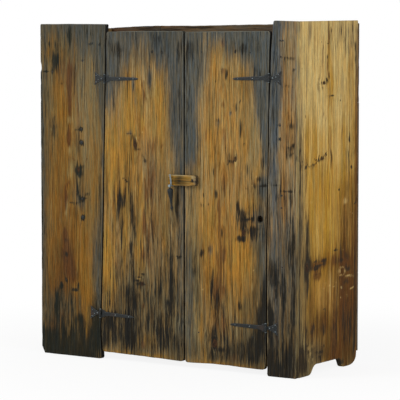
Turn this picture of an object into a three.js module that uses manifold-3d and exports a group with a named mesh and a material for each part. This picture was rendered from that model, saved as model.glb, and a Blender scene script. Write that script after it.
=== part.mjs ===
// A jelly cupboard of rough pine boards: two tall plank doors between a wide left stile and a narrow right one,
// on side boards whose lower ends are cut to feet. Millimetres, +Z up, front towards -Y, +X to the viewer's right.
// It is drawn in case coordinates: X from the left side's outer face, Y from the stiles' front face back to the
// wall, Z from the floor. The last lines move it so that the origin lies under the middle of its bounding box.
import * as THREE from "three";
import { mergeVertices } from "three/addons/utils/BufferGeometryUtils.js";
import Module from "manifold-3d";

const wasm = await Module();
wasm.setup();

// Case
const WIDTH = 1237;
const DEPTH = 485;
const HEIGHT = 1370; // to the stiles' tops; the right side's back corner stands a little higher
const SIDE_T = 22;
const STILE_T = 24;
const BACK_T = 11;
const SHELF_T = 22;
const FIT = 0.3; // between two boards that are nailed together
const EASE = 1.5; // worn arris round every board

// Side boards
const FOOT_FRONT = 92; // front foot, from the stile's face
const FOOT_BACK = 62; // flat of the back foot
const ARCH_RISE = 38;
const ARCH_FRONT_RUN = 66; // how far the arch takes to rise behind the front foot
const ARCH_BACK_RUN = 42;
const HEEL_RUN = 70; // the back corner's worn rounding, along the floor
const HEEL_RISE = 46;
const SIDE_TOPS = { left: [-1, -11], right: [-4, 8] }; // each top's front and back corner, from the height above

// Left stile: its right edge wanders, so its width is given down its height
const LEFT_STILE = 335;
const LEFT_STILE_DROP = 5; // its inner corner, below the height
const LEFT_STILE_SLANT = 4; // how much higher its outer corner is
const LEFT_WIDTH_SHARES = [1, 0.973, 0.938, 0.912, 0.905, 0.922];
const LEFT_HEIGHT_SHARES = [1, 0.716, 0.328, 0.14, 0.075, 0];
const NOTCH_DEEP = 5; // broken edge on the outer side
const NOTCH_LONG = 40;
const NOTCH_DROP = 150; // its upper end, below the stile's top
const WORN_TOE = 14; // outer bottom corner

// Right stile
const RIGHT_STILE = 129;
const RIGHT_STILE_DROP = 2;
const RIGHT_STILE_SLANT = 2; // how much higher its inner corner is, and its outer one lower
const RIGHT_WIDTH_SHARES = [0.818, 0.884, 0.953, 1, 0.977];
const RIGHT_HEIGHT_SHARES = [1, 0.925, 0.724, 0.358, 0];
const STILE_CORNER = 9;

// Inside
const TOP_BOARD_DROP = 67; // its upper face, below the sides' tops
const BOTTOM_UP = 84; // underside of the bottom board
const SHELF_SHARES = { shelf_lower: 0.264, shelf_middle: 0.528, shelf_upper: 0.755 }; // from it to the top board
const CLEAT_T = 20;
const CLEAT_H = 32;
const CLEAT_INSET = 24; // bare shelf edge in front of and behind a cleat
const RAIL_T = 20;
const RAIL_H = 118;

// Back boards, nailed across the sides' back edges
const BACK_TOP_DROP = 3;
const BACK_FALL = 7; // the shorter top length falls this much to its outer end
const BACK_RISE = 52;
const BACK_SHARES = [0.24, 0.27, 0.25, 0.24]; // of the height they cover, from the floor up
const BACK_GAP = 2;
const BACK_SPLIT = 275; // the top row is two lengths, butted here
const BACK_CORNER = 12;

// Doors
const DOOR_T = 21;
const SEAM = 720; // where the doors meet
const SEAM_GAP = 6;
const HINGE_GAP = 5.5; // left door to left stile
const LEFT_DOOR_DROP = 37;
const LEFT_DOOR_RISE = 28;
const RIGHT_DOOR_DROP = 41;
const RIGHT_DOOR_RISE = 24;
const RIGHT_GAP_TOP = 10.5;
const RIGHT_GAP_LOW = 12;
const RIGHT_GAP_SHARES = [1, 0.42, 0.5, 1]; // of the gap, down the right door's hinge edge
const DOOR_TOP_CORNER = 8;
const DOOR_FOOT_CORNER = 20;
const FINGER_HOLE = 23;
const FINGER_HOLE_IN = 34; // its centre from the stile's edge
const FINGER_HOLE_SHARE = 0.4438; // its height, of the whole height
const BATTEN_T = 18;
const BATTEN_H = 63;
const BATTEN_INSET = 26; // from the door's edges
const BATTEN_TOP_DROP = 57; // top batten, below the door's top
const BATTEN_RISE = 90; // lower batten, above the door's foot

// Hinges: a dovetail plate on the stile, a tapered strap on the door, one pin
const LEAF_T = 3;
const KNUCKLE = 10; // diameter
const PIN = 5;
const PIN_PLAY = 0.3;
const PIN_HEAD = 8;
const PIN_HEAD_T = 2;
const MID_KNUCKLE = 12;
const END_KNUCKLE = 10;
const KNUCKLE_PLAY = 0.5;
const PLATE_LONG = 52;
const PLATE_TALL = 54;
const NECK = 8; // narrow part of the plate beside the knuckle
const STRAP_LONG = 166;
const STRAP_ROOT = 25;
const STRAP_TALL = 16;
const STRAP_END_TALL = 11;
const STRAP_POINT = 20;
const STRAP_TIP = 4; // the point is worn back this far
const LEFT_HINGE_DROP = 225; // upper hinges, below the sides' tops
const RIGHT_HINGE_DROP = 219;
const LOW_HINGE_UP = 188;
const HINGES = {
  left_upper: { hand: 1, up: HEIGHT - LEFT_HINGE_DROP, tipDrop: -4 },
  left_lower: { hand: 1, up: LOW_HINGE_UP, tipDrop: 1 },
  right_upper: { hand: -1, up: HEIGHT - RIGHT_HINGE_DROP, tipDrop: 6 },
  right_lower: { hand: -1, up: LOW_HINGE_UP, tipDrop: 0 },
};

// Latch: a whittled bar nailed to the right door drops into an iron catch on the left door
const BAR_LONG = 133;
const BAR_TALL = 42;
const BAR_T = 18;
const BAR_SHARE = 0.53; // its underside, of the whole height
const BAR_OVER = 68; // how far it reaches past the right door's edge
const BAR_BOW = 1.5;
const BAR_PLAY = 0.5;
const BAR_CORNER = 9;
const BAR_NOSE = 3;
const NAIL = 5;
const NAIL_PLAY = 0.3;
const NAIL_HEAD = 9;
const NAIL_HEAD_T = 1.5;
const NAIL_IN = 18; // from the bar's right end
const RECESS = 13;
const RECESS_DEEP = 3;
const CATCH_IN = 17; // from the bar's left end
const CATCH_WIDE = 7;
const CATCH_T = 3;
const CATCH_CLEAR = 1.5;
const CATCH_RISE = 46;
const CATCH_FLARE = 7;
const CATCH_STRAIGHT = 14;
const CLINCH = 14;
const SLOT_PLAY = 0.3;
const PEG_HEAD = 11;
const PEG_HEAD_T = 2.5;
const EYE = 14;
const EYE_T = 6;
const EYE_PLAY = 0.5;
const EYE_OUT = 3.5; // from the catch's outer face

// Drop pull: a turned iron tear hanging from the catch's peg
const DROP_LONG = 108; // peg to point
const DROP_LEAN = (9 * Math.PI) / 180; // its point rests nearer the door
const DROP = 25; // widest
const DROP_RADIUS_SHARES = [0.24, 0.3, 0.78, 1, 0.86, 0.5, 0.3, 0.26, 0.44, 0.48, 0.3, 0.12, 0.03];
const DROP_DOWN_SHARES = [0.055, 0.075, 0.12, 0.17, 0.27, 0.48, 0.68, 0.765, 0.8, 0.83, 0.88, 0.95, 1];

const ROUND_STEPS = 24;
const CORNER_STEPS = 4;

const look = (color, roughness, metalness = 0) => new THREE.MeshStandardMaterial({ color, roughness, metalness });
const LOOKS = {
  grey: look(0x6f6a5e, 0.85),
  gold: look(0x9a7440, 0.8),
  inner: look(0x8a5f38, 0.9),
  iron: look(0x24262a, 0.6, 0.8),
};

// The way a flat outline is stood up: its x, its y and its thickness
const axes = (x, y, z) => new THREE.Matrix4().makeBasis(new THREE.Vector3(...x), new THREE.Vector3(...y), new THREE.Vector3(...z));
const FRONT = axes([1, 0, 0], [0, 0, 1], [0, -1, 0]); // seen from the front, thickness towards the viewer
const SIDE = axes([0, 1, 0], [0, 0, 1], [1, 0, 0]); // seen from the left, thickness to the right
const FLAT = new THREE.Matrix4();

/** A straight-sided outline; a corner [x, y, r] is rounded over a length r. */
function outline(corners) {
  const shape = new THREE.Shape();
  const points = corners.map(([x, y]) => new THREE.Vector2(x, y));
  corners.forEach(([x, y, r = 0], i) => {
    const toward = (other) => points[i].clone().add(other.clone().sub(points[i]).setLength(r));
    const before = toward(points.at(i - 1));
    const after = toward(points[(i + 1) % points.length]);
    if (i === 0) shape.moveTo(before.x, before.y);
    else shape.lineTo(before.x, before.y);
    if (r > 0) shape.quadraticCurveTo(x, y, after.x, after.y);
  });
  return shape;
}

/** A rectangle from its low corner to its high corner. */
const rectangle = (x0, y0, x1, y1, r = 0) => outline([[x0, y0, r], [x1, y0, r], [x1, y1, r], [x0, y1, r]]);

/** A round hole to put in an outline; like every hole here it runs anticlockwise. */
function roundHole(x, y, diameter) {
  const centre = new THREE.Vector2(x, y);
  const start = new THREE.Vector2(x + diameter / 2, y);
  const onCircle = (_, i) => start.clone().rotateAround(centre, (2 * Math.PI * i) / ROUND_STEPS);
  return new THREE.Path(Array.from({ length: ROUND_STEPS }, onCircle));
}

/** A board of an outline, with every arris eased. */
function boardOf(shape, thickness, ease = EASE) {
  const geometry = new THREE.ExtrudeGeometry(shape, {
    depth: thickness - 2 * ease,
    bevelEnabled: ease > 0,
    bevelThickness: ease,
    bevelSize: ease,
    bevelOffset: -ease,
    bevelSegments: 1,
    curveSegments: CORNER_STEPS,
  });
  return geometry.translate(0, 0, ease);
}

/** A round bar along Z. */
function rod(diameter, length, x = 0, y = 0, z = 0) {
  const geometry = new THREE.CylinderGeometry(diameter / 2, diameter / 2, length, ROUND_STEPS);
  return geometry.rotateX(Math.PI / 2).translate(x, y, z);
}

/** A closed geometry as a solid for cutting and joining. */
function solid(geometry) {
  const bare = geometry.clone();
  bare.deleteAttribute("normal");
  bare.deleteAttribute("uv");
  const merged = mergeVertices(bare);
  const vertProperties = merged.attributes.position.array;
  return new wasm.Manifold(new wasm.Mesh({ numProp: 3, vertProperties, triVerts: new Uint32Array(merged.index.array) }));
}

/** A solid back as a geometry. */
function geometryOf(made) {
  const mesh = made.getMesh();
  const geometry = new THREE.BufferGeometry();
  geometry.setAttribute("position", new THREE.BufferAttribute(new Float32Array(mesh.vertProperties), 3));
  geometry.setIndex(new THREE.BufferAttribute(new Uint32Array(mesh.triVerts), 1));
  geometry.computeVertexNormals();
  return geometry;
}

/** A named mesh, stood up and put in place. */
function piece(name, geometry, material, facing, x, y, z) {
  const mesh = new THREE.Mesh(geometry, material);
  mesh.name = name;
  mesh.quaternion.setFromRotationMatrix(facing);
  mesh.position.set(x, y, z);
  return mesh;
}

/** A value read off a table of shares, straight between its entries. */
function between(heights, values, height) {
  const i = Math.max(1, heights.findIndex((h) => h <= height));
  const t = (height - heights[i]) / (heights[i - 1] - heights[i]);
  return values[i] + t * (values[i - 1] - values[i]);
}

// Sizes that follow
const BACK_Y = DEPTH - BACK_T;
const INSIDE_Y = STILE_T + FIT; // shelves, sides and rails start here
const INSIDE_DEPTH = BACK_Y - FIT - INSIDE_Y;
const INSIDE_X = SIDE_T + FIT;
const INSIDE_WIDTH = WIDTH - 2 * INSIDE_X;
const LEFT_STILE_TOP = HEIGHT - LEFT_STILE_DROP;
const RIGHT_STILE_TOP = HEIGHT - RIGHT_STILE_DROP;
const TOP_BOARD_UP = HEIGHT - TOP_BOARD_DROP - SHELF_T;
const shelfUp = (share) => BOTTOM_UP + share * (TOP_BOARD_UP - BOTTOM_UP);
const FINGER_HOLE_UP = FINGER_HOLE_SHARE * HEIGHT;
const BAR_UP = BAR_SHARE * HEIGHT;
const NOTCH_UP = LEFT_STILE_TOP - NOTCH_DROP - NOTCH_LONG;

const leftHeights = LEFT_HEIGHT_SHARES.map((share) => share * LEFT_STILE_TOP);
const leftWidths = LEFT_WIDTH_SHARES.map((share) => share * LEFT_STILE);
const leftEdge = (z) => between(leftHeights, leftWidths, z);
const rightHeights = RIGHT_HEIGHT_SHARES.map((share) => share * RIGHT_STILE_TOP);
const rightWidths = RIGHT_WIDTH_SHARES.map((share) => share * RIGHT_STILE);
const rightEdge = (z) => WIDTH - between(rightHeights, rightWidths, z);

const leftDoor = { top: HEIGHT - LEFT_DOOR_DROP, foot: LEFT_DOOR_RISE, seam: SEAM - SEAM_GAP / 2 };
const rightDoor = { top: HEIGHT - RIGHT_DOOR_DROP, foot: RIGHT_DOOR_RISE, seam: SEAM + SEAM_GAP / 2 };
leftDoor.hingeEdge = (z) => leftEdge(z) + HINGE_GAP;
const rightGapHeights = [rightDoor.top, rightHeights[2], rightHeights[3], rightDoor.foot];
const rightGaps = [RIGHT_GAP_TOP, RIGHT_GAP_TOP, RIGHT_GAP_LOW, RIGHT_GAP_LOW].map((gap, i) => gap * RIGHT_GAP_SHARES[i]);
rightDoor.hingeEdge = (z) => rightEdge(z) - between(rightGapHeights, rightGaps, z);

/** Where the hinge line crosses a height: the middle of the gap beside the door. */
const gapMiddle = (hand, z) => (hand > 0 ? (leftEdge(z) + leftDoor.hingeEdge(z)) / 2 : (rightEdge(z) + rightDoor.hingeEdge(z)) / 2);

/** How far a door's hinge line leans to the right going up, in radians. */
function leanOf(upper, lower) {
  return Math.atan2(gapMiddle(upper.hand, upper.up) - gapMiddle(lower.hand, lower.up), upper.up - lower.up);
}
const LEANS = { left: leanOf(HINGES.left_upper, HINGES.left_lower), right: leanOf(HINGES.right_upper, HINGES.right_lower) };
const PIN_Y = -(KNUCKLE / 2 + FIT);

/** Side board: full height, with two feet, an arch between them and a worn heel. */
function sideBoard(name, x, [frontRise, backRise]) {
  const start = INSIDE_Y;
  const end = BACK_Y - FIT;
  const backFootEnd = end - HEEL_RUN;
  const backFootStart = backFootEnd - FOOT_BACK;
  const shape = new THREE.Shape();
  shape.moveTo(start, 0);
  shape.lineTo(FOOT_FRONT, 0);
  shape.bezierCurveTo(FOOT_FRONT + ARCH_FRONT_RUN / 2, 0, FOOT_FRONT + ARCH_FRONT_RUN / 4, ARCH_RISE, FOOT_FRONT + ARCH_FRONT_RUN, ARCH_RISE);
  shape.lineTo(backFootStart - ARCH_BACK_RUN, ARCH_RISE);
  shape.bezierCurveTo(backFootStart - ARCH_BACK_RUN / 2, ARCH_RISE, backFootStart - ARCH_BACK_RUN / 2, 0, backFootStart, 0);
  shape.lineTo(backFootEnd, 0);
  shape.quadraticCurveTo(end, 0, end, HEEL_RISE);
  shape.lineTo(end, HEIGHT + backRise);
  shape.lineTo(start, HEIGHT + frontRise);
  return piece(name, boardOf(shape, SIDE_T), LOOKS.gold, SIDE, x, 0, 0);
}

/** Left stile: the wide front plank, its inner edge wandering and its outer edge broken. */
function leftStile() {
  const innerEdge = leftHeights.map((z, i) => [leftWidths[i], z, i === leftHeights.length - 1 ? STILE_CORNER : 0]);
  const shape = outline([
    [0, LEFT_STILE_TOP + LEFT_STILE_SLANT],
    ...innerEdge,
    [WORN_TOE, 0],
    [0, 2 * WORN_TOE],
    [0, NOTCH_UP],
    [NOTCH_DEEP, NOTCH_UP + NOTCH_LONG / 4],
    [NOTCH_DEEP * 0.6, NOTCH_UP + NOTCH_LONG * 0.8],
    [0, NOTCH_UP + NOTCH_LONG],
  ]);
  return piece("stile_left", boardOf(shape, STILE_T), LOOKS.grey, FRONT, 0, STILE_T, 0);
}

/** Right stile: narrow, drawn in at the top. */
function rightStile() {
  const last = rightHeights.length - 1;
  const innerEdge = rightHeights.map((z, i) => [WIDTH - rightWidths[i], z, i === 0 || i === last ? STILE_CORNER : 0]);
  innerEdge[0][1] += RIGHT_STILE_SLANT;
  const shape = outline([[WIDTH, 0], [WIDTH, RIGHT_STILE_TOP - RIGHT_STILE_SLANT], ...innerEdge]);
  return piece("stile_right", boardOf(shape, STILE_T), LOOKS.grey, FRONT, 0, STILE_T, 0);
}

/** A shelf, or the top or bottom board: it lies between the sides, on a cleat at each end. */
function shelfWithCleats(name, up) {
  const shelf = boardOf(rectangle(0, 0, INSIDE_WIDTH, INSIDE_DEPTH), SHELF_T);
  const railBack = STILE_T + RAIL_T + 2 * FIT;
  const cleatFront = railBack + CLEAT_INSET;
  const cleatBack = BACK_Y - CLEAT_INSET;
  const cleat = () => boardOf(rectangle(cleatFront, 0, cleatBack, CLEAT_H), CLEAT_T);
  const cleatUp = up - FIT - CLEAT_H;
  return [
    piece(name, shelf, LOOKS.inner, FLAT, INSIDE_X, INSIDE_Y, up),
    piece(name + "_cleat_left", cleat(), LOOKS.inner, SIDE, INSIDE_X, 0, cleatUp),
    piece(name + "_cleat_right", cleat(), LOOKS.inner, SIDE, WIDTH - INSIDE_X - CLEAT_T, 0, cleatUp),
  ];
}

/** A rail under the front edge of a shelf, which the stiles are nailed to and the doors close against. */
function frontRail(name, shelfUp) {
  const rail = boardOf(rectangle(0, 0, INSIDE_WIDTH, RAIL_H), RAIL_T);
  return piece(name, rail, LOOKS.inner, FRONT, INSIDE_X, INSIDE_Y + RAIL_T, shelfUp - FIT - RAIL_H);
}

/** Thin boards nailed across the back; the top row is two lengths. */
function backBoards() {
  const covered = HEIGHT - BACK_TOP_DROP - BACK_RISE;
  const rows = [];
  let up = BACK_RISE;
  BACK_SHARES.forEach((share, i) => {
    const tall = share * covered - BACK_GAP;
    const top = i === BACK_SHARES.length - 1;
    if (top) {
      const left = outline([[0, up], [BACK_SPLIT - FIT, up], [BACK_SPLIT - FIT, up + tall], [0, up + tall - BACK_FALL, BACK_CORNER]]);
      const right = outline([[BACK_SPLIT + FIT, up], [WIDTH, up], [WIDTH, up + tall], [BACK_SPLIT + FIT, up + tall]]);
      rows.push(piece("back_board_top_left", boardOf(left, BACK_T), LOOKS.inner, FRONT, 0, DEPTH, 0));
      rows.push(piece("back_board_top_right", boardOf(right, BACK_T), LOOKS.inner, FRONT, 0, DEPTH, 0));
    } else {
      const shape = rectangle(0, up, WIDTH, up + tall);
      rows.push(piece("back_board_" + (i + 1), boardOf(shape, BACK_T), LOOKS.inner, FRONT, 0, DEPTH, 0));
    }
    up += share * covered;
  });
  return rows;
}

/** One hinge in its own frame, pin along Z: the plate and pin stay on the stile, the strap goes with the door. */
function hinge(key) {
  const { hand, up, tipDrop } = HINGES[key];
  const lean = hand > 0 ? LEANS.left : LEANS.right;
  const radius = KNUCKLE / 2;
  const bore = PIN + 2 * PIN_PLAY;
  const midHalf = MID_KNUCKLE / 2;
  const endMiddle = midHalf + KNUCKLE_PLAY + END_KNUCKLE / 2;
  const flat = (points) => outline(points.map(([x, z, r]) => [hand * x, z, r]));
  const leaf = (points) => boardOf(flat(points), LEAF_T, LEAF_T / 8).applyMatrix4(FRONT).translate(0, radius, 0);

  const plateOutline = [
    [0, midHalf],
    [-NECK, midHalf],
    [-PLATE_LONG, PLATE_TALL / 2, 2 * LEAF_T],
    [-PLATE_LONG, -PLATE_TALL / 2, 2 * LEAF_T],
    [-NECK, -midHalf],
    [0, -midHalf],
  ];
  const plate = solid(leaf(plateOutline)).add(solid(rod(KNUCKLE, MID_KNUCKLE))).subtract(solid(rod(bore, 2 * PLATE_TALL)));

  const rootHalf = midHalf + KNUCKLE_PLAY + END_KNUCKLE;
  const sag = (x) => -tipDrop * (x / STRAP_LONG);
  const strapOutline = [
    [0, rootHalf],
    [STRAP_ROOT * 0.7, rootHalf, LEAF_T],
    [STRAP_ROOT, STRAP_TALL / 2 + sag(STRAP_ROOT), LEAF_T],
    [STRAP_LONG - STRAP_POINT, STRAP_END_TALL / 2 + sag(STRAP_LONG - STRAP_POINT)],
    [STRAP_LONG, sag(STRAP_LONG), STRAP_TIP],
    [STRAP_LONG - STRAP_POINT, -STRAP_END_TALL / 2 + sag(STRAP_LONG - STRAP_POINT)],
    [STRAP_ROOT, -STRAP_TALL / 2 + sag(STRAP_ROOT), LEAF_T],
    [STRAP_ROOT * 0.7, -rootHalf, LEAF_T],
    [0, -rootHalf],
  ];
  const strap = solid(leaf(strapOutline))
    .add(solid(rod(KNUCKLE, END_KNUCKLE, 0, 0, endMiddle)))
    .add(solid(rod(KNUCKLE, END_KNUCKLE, 0, 0, -endMiddle)))
    .subtract(solid(rod(KNUCKLE + 2 * KNUCKLE_PLAY, MID_KNUCKLE + 2 * KNUCKLE_PLAY)))
    .subtract(solid(rod(bore, 2 * PLATE_TALL)));

  const headMiddle = rootHalf + FIT + PIN_HEAD_T / 2;
  const pin = solid(rod(PIN, 2 * headMiddle))
    .add(solid(rod(PIN_HEAD, PIN_HEAD_T, 0, 0, headMiddle)))
    .add(solid(rod(PIN_HEAD, PIN_HEAD_T, 0, 0, -headMiddle)));

  const upright = new THREE.Matrix4().makeRotationY(lean);
  const at = [gapMiddle(hand, up), PIN_Y, up];
  return {
    plate: piece("hinge_plate_" + key, geometryOf(plate), LOOKS.iron, upright, ...at),
    strap: piece("hinge_strap_" + key, geometryOf(strap), LOOKS.iron, upright, ...at),
    pin: piece("hinge_pin_" + key, geometryOf(pin), LOOKS.iron, upright, ...at),
  };
}

// Places on the latch that its pieces share
const bar = { right: rightDoor.seam + BAR_LONG - BAR_OVER };
bar.left = bar.right - BAR_LONG;
bar.nail = [bar.right - NAIL_IN, BAR_UP + BAR_TALL / 2];
bar.front = -(BAR_PLAY + BAR_T);
/** The bar's underside, which bows a little. */
const undersideAt = (x) => BAR_UP - 4 * BAR_BOW * ((x - bar.left) / BAR_LONG) * (1 - (x - bar.left) / BAR_LONG);
const catchX = bar.left + CATCH_IN;
const catchSeat = undersideAt(catchX) - FIT - CATCH_T / 2; // the middle of the iron under the bar
const catchFront = bar.front - CATCH_CLEAR - CATCH_T; // its outer face
const pegUp = catchSeat;
const eyeY = catchFront - EYE_OUT - EYE_T / 2;

/** A door plank from the points of its hinge edge, going down, to its seam edge. */
function plank(name, door, hingeHeights, holes) {
  const last = hingeHeights.length - 1;
  const cornerOf = (i) => (i === 0 ? DOOR_TOP_CORNER : i === last ? DOOR_FOOT_CORNER : 0);
  const edge = hingeHeights.map((z, i) => [door.hingeEdge(z), z, cornerOf(i)]);
  const shape = outline([...edge, [door.seam, door.foot, DOOR_FOOT_CORNER], [door.seam, door.top, DOOR_TOP_CORNER]]);
  shape.holes.push(...holes);
  return piece(name, boardOf(shape, DOOR_T), LOOKS.gold, FRONT, 0, DOOR_T, 0);
}

/** The two battens across the back of a door. */
function battens(side, door) {
  const strip = (name, up) => {
    const hingeEnd = door.hingeEdge(up + BATTEN_H / 2);
    const inward = Math.sign(door.seam - hingeEnd) * BATTEN_INSET;
    const [x0, x1] = [hingeEnd + inward, door.seam - inward].sort((a, b) => a - b);
    const shape = rectangle(x0, up, x1, up + BATTEN_H);
    return piece(name, boardOf(shape, BATTEN_T), LOOKS.inner, FRONT, 0, DOOR_T + FIT + BATTEN_T, 0);
  };
  return [
    strip(`door_${side}_batten_upper`, door.top - BATTEN_TOP_DROP - BATTEN_H),
    strip(`door_${side}_batten_lower`, door.foot + BATTEN_RISE),
  ];
}

/** The outline of a bent strip from the middle line of its bends. */
function bentStrip(middle, thickness) {
  const points = middle.map(([x, y]) => new THREE.Vector2(x, y));
  const normalTo = (a, b) => new THREE.Vector2(a.y - b.y, b.x - a.x).normalize();
  const offset = points.map((p, i) => {
    const before = i > 0 ? normalTo(points[i - 1], p) : normalTo(p, points[i + 1]);
    const after = i < points.length - 1 ? normalTo(p, points[i + 1]) : before;
    const mitre = before.clone().add(after).normalize();
    return mitre.multiplyScalar(thickness / 2 / mitre.dot(before));
  });
  const oneSide = points.map((p, i) => [p.x + offset[i].x, p.y + offset[i].y]);
  const otherSide = points.map((p, i) => [p.x - offset[i].x, p.y - offset[i].y]).reverse();
  return outline([...oneSide, ...otherSide]);
}

/** Iron catch: clinched behind the left door, it comes through under the bar and rises, flared, in front of it. */
function latchCatch() {
  const behind = DOOR_T + FIT + CATCH_T / 2;
  const outside = catchFront + CATCH_T / 2;
  const middle = [
    [behind, -CLINCH],
    [behind, 0],
    [outside, 0],
    [outside, CATCH_STRAIGHT],
    [outside - CATCH_FLARE, CATCH_RISE],
  ];
  const hook = boardOf(bentStrip(middle, CATCH_T), CATCH_WIDE, 0).applyMatrix4(SIDE).translate(-CATCH_WIDE / 2, 0, 0);
  const pegEnd = eyeY - EYE_T / 2 - EYE_PLAY;
  const peg = rod(PIN, outside - pegEnd).rotateX(Math.PI / 2).translate(0, (outside + pegEnd) / 2, 0);
  const head = rod(PEG_HEAD, PEG_HEAD_T).rotateX(Math.PI / 2).translate(0, pegEnd - PEG_HEAD_T / 2, 0);
  const made = solid(hook).add(solid(peg)).add(solid(head));
  return piece("latch_catch", geometryOf(made), LOOKS.iron, FLAT, catchX, 0, catchSeat);
}

/** The slot that the catch comes through the door by. */
function catchSlot() {
  const halfWide = CATCH_WIDE / 2 + SLOT_PLAY;
  const halfTall = CATCH_T / 2 + SLOT_PLAY;
  const corners = [[-halfWide, -halfTall], [halfWide, -halfTall], [halfWide, halfTall], [-halfWide, halfTall]];
  return new THREE.Path(corners.map(([x, z]) => new THREE.Vector2(catchX + x, catchSeat + z)));
}

/** Wooden latch bar, with a sunk place for its nail. */
function latchBar() {
  const top = BAR_UP + BAR_TALL;
  const shape = new THREE.Shape();
  shape.moveTo(bar.left, BAR_UP);
  shape.quadraticCurveTo((bar.left + bar.right) / 2, BAR_UP - 2 * BAR_BOW, bar.right - BAR_CORNER, BAR_UP);
  shape.quadraticCurveTo(bar.right, BAR_UP, bar.right, BAR_UP + BAR_CORNER);
  shape.lineTo(bar.right, top - BAR_CORNER);
  shape.quadraticCurveTo(bar.right, top, bar.right - BAR_CORNER, top);
  shape.lineTo(bar.left + BAR_NOSE, top);
  shape.lineTo(bar.left, top - BAR_NOSE);
  shape.holes.push(roundHole(...bar.nail, NAIL + 2 * NAIL_PLAY));
  const blank = boardOf(shape, BAR_T).applyMatrix4(FRONT).translate(0, -BAR_PLAY, 0);
  const recess = rod(RECESS, 2 * RECESS_DEEP).rotateX(Math.PI / 2).translate(bar.nail[0], bar.front, bar.nail[1]);
  return piece("latch_bar", geometryOf(solid(blank).subtract(solid(recess))), LOOKS.gold, FLAT, 0, 0, 0);
}

/** The nail that the bar turns on, driven through the right door. */
function latchNail() {
  const headFront = bar.front + RECESS_DEEP - FIT - NAIL_HEAD_T;
  const tip = DOOR_T - EASE;
  const shank = rod(NAIL, tip - headFront).rotateX(Math.PI / 2).translate(0, (tip + headFront) / 2, 0);
  const head = rod(NAIL_HEAD, NAIL_HEAD_T).rotateX(Math.PI / 2).translate(0, headFront + NAIL_HEAD_T / 2, 0);
  const [x, z] = bar.nail;
  return piece("latch_nail", geometryOf(solid(shank).add(solid(head))), LOOKS.iron, FLAT, x, 0, z);
}

/** Iron drop: an eye on the catch's peg over a turned tear with a small collar near its point. */
function dropPull() {
  const profile = [new THREE.Vector2(0, -DROP_DOWN_SHARES[0] * DROP_LONG)];
  DROP_RADIUS_SHARES.forEach((share, i) => profile.push(new THREE.Vector2(share * DROP / 2, -DROP_DOWN_SHARES[i] * DROP_LONG)));
  profile.push(new THREE.Vector2(0, -DROP_LONG));
  const tear = new THREE.LatheGeometry(profile.reverse(), ROUND_STEPS).rotateX(Math.PI / 2 + DROP_LEAN);
  const ring = rod(EYE, EYE_T).rotateX(Math.PI / 2);
  const hole = rod(PIN + 2 * PIN_PLAY, 2 * EYE_T).rotateX(Math.PI / 2);
  const made = solid(tear).add(solid(ring)).subtract(solid(hole));
  return piece("drop_pull", geometryOf(made), LOOKS.iron, FLAT, catchX, eyeY, pegUp);
}

const hinges = Object.fromEntries(Object.keys(HINGES).map((key) => [key, hinge(key)]));

const carcass = new THREE.Group();
carcass.add(sideBoard("side_left", 0, SIDE_TOPS.left), sideBoard("side_right", WIDTH - SIDE_T, SIDE_TOPS.right));
carcass.add(leftStile(), rightStile());
carcass.add(...shelfWithCleats("bottom_board", BOTTOM_UP), ...shelfWithCleats("top_board", TOP_BOARD_UP));
for (const [name, share] of Object.entries(SHELF_SHARES)) carcass.add(...shelfWithCleats(name, shelfUp(share)));
carcass.add(frontRail("rail_lower", shelfUp(SHELF_SHARES.shelf_middle)));
carcass.add(frontRail("rail_upper", shelfUp(SHELF_SHARES.shelf_upper)));
carcass.add(...backBoards());
for (const { plate, pin } of Object.values(hinges)) carcass.add(plate, pin);

const doorLeft = new THREE.Group();
const leftInner = leftHeights.filter((z) => z < leftDoor.top && z > leftDoor.foot);
doorLeft.add(plank("door_left_plank", leftDoor, [leftDoor.top, ...leftInner, leftDoor.foot], [catchSlot()]));
doorLeft.add(...battens("left", leftDoor), hinges.left_upper.strap, hinges.left_lower.strap, latchCatch());

const doorRight = new THREE.Group();
const fingerHole = roundHole(rightEdge(FINGER_HOLE_UP) - FINGER_HOLE_IN, FINGER_HOLE_UP, FINGER_HOLE);
const nailHole = roundHole(...bar.nail, NAIL + 2 * NAIL_PLAY);
doorRight.add(plank("door_right_plank", rightDoor, rightGapHeights, [fingerHole, nailHole]));
doorRight.add(...battens("right", rightDoor), hinges.right_upper.strap, hinges.right_lower.strap, latchNail());

const cupboard = new THREE.Group();
const belly = (DROP / 2) * Math.cos(DROP_LEAN) - DROP_DOWN_SHARES[3] * DROP_LONG * Math.sin(DROP_LEAN);
const frontmost = eyeY - belly;
cupboard.position.set(-WIDTH / 2, -(frontmost + DEPTH) / 2, 0);
cupboard.add(carcass, doorLeft, doorRight, latchBar(), dropPull());

export default cupboard;
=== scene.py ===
"""Looks of a jelly cupboard: weathered pine boards, forged iron hinges, a latch bar and a drop pull.

Places on the boards are millimetres in case coordinates, as in the part's source: X from the left side's
outer face, Y from the stiles' front face, Z from the floor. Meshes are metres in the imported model's frame.
"""
import logging
import math
from collections.abc import Iterator
from contextlib import contextmanager
from dataclasses import dataclass, field
from enum import Enum

import bpy
import numpy as np
from mathutils import Matrix, Vector


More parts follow.
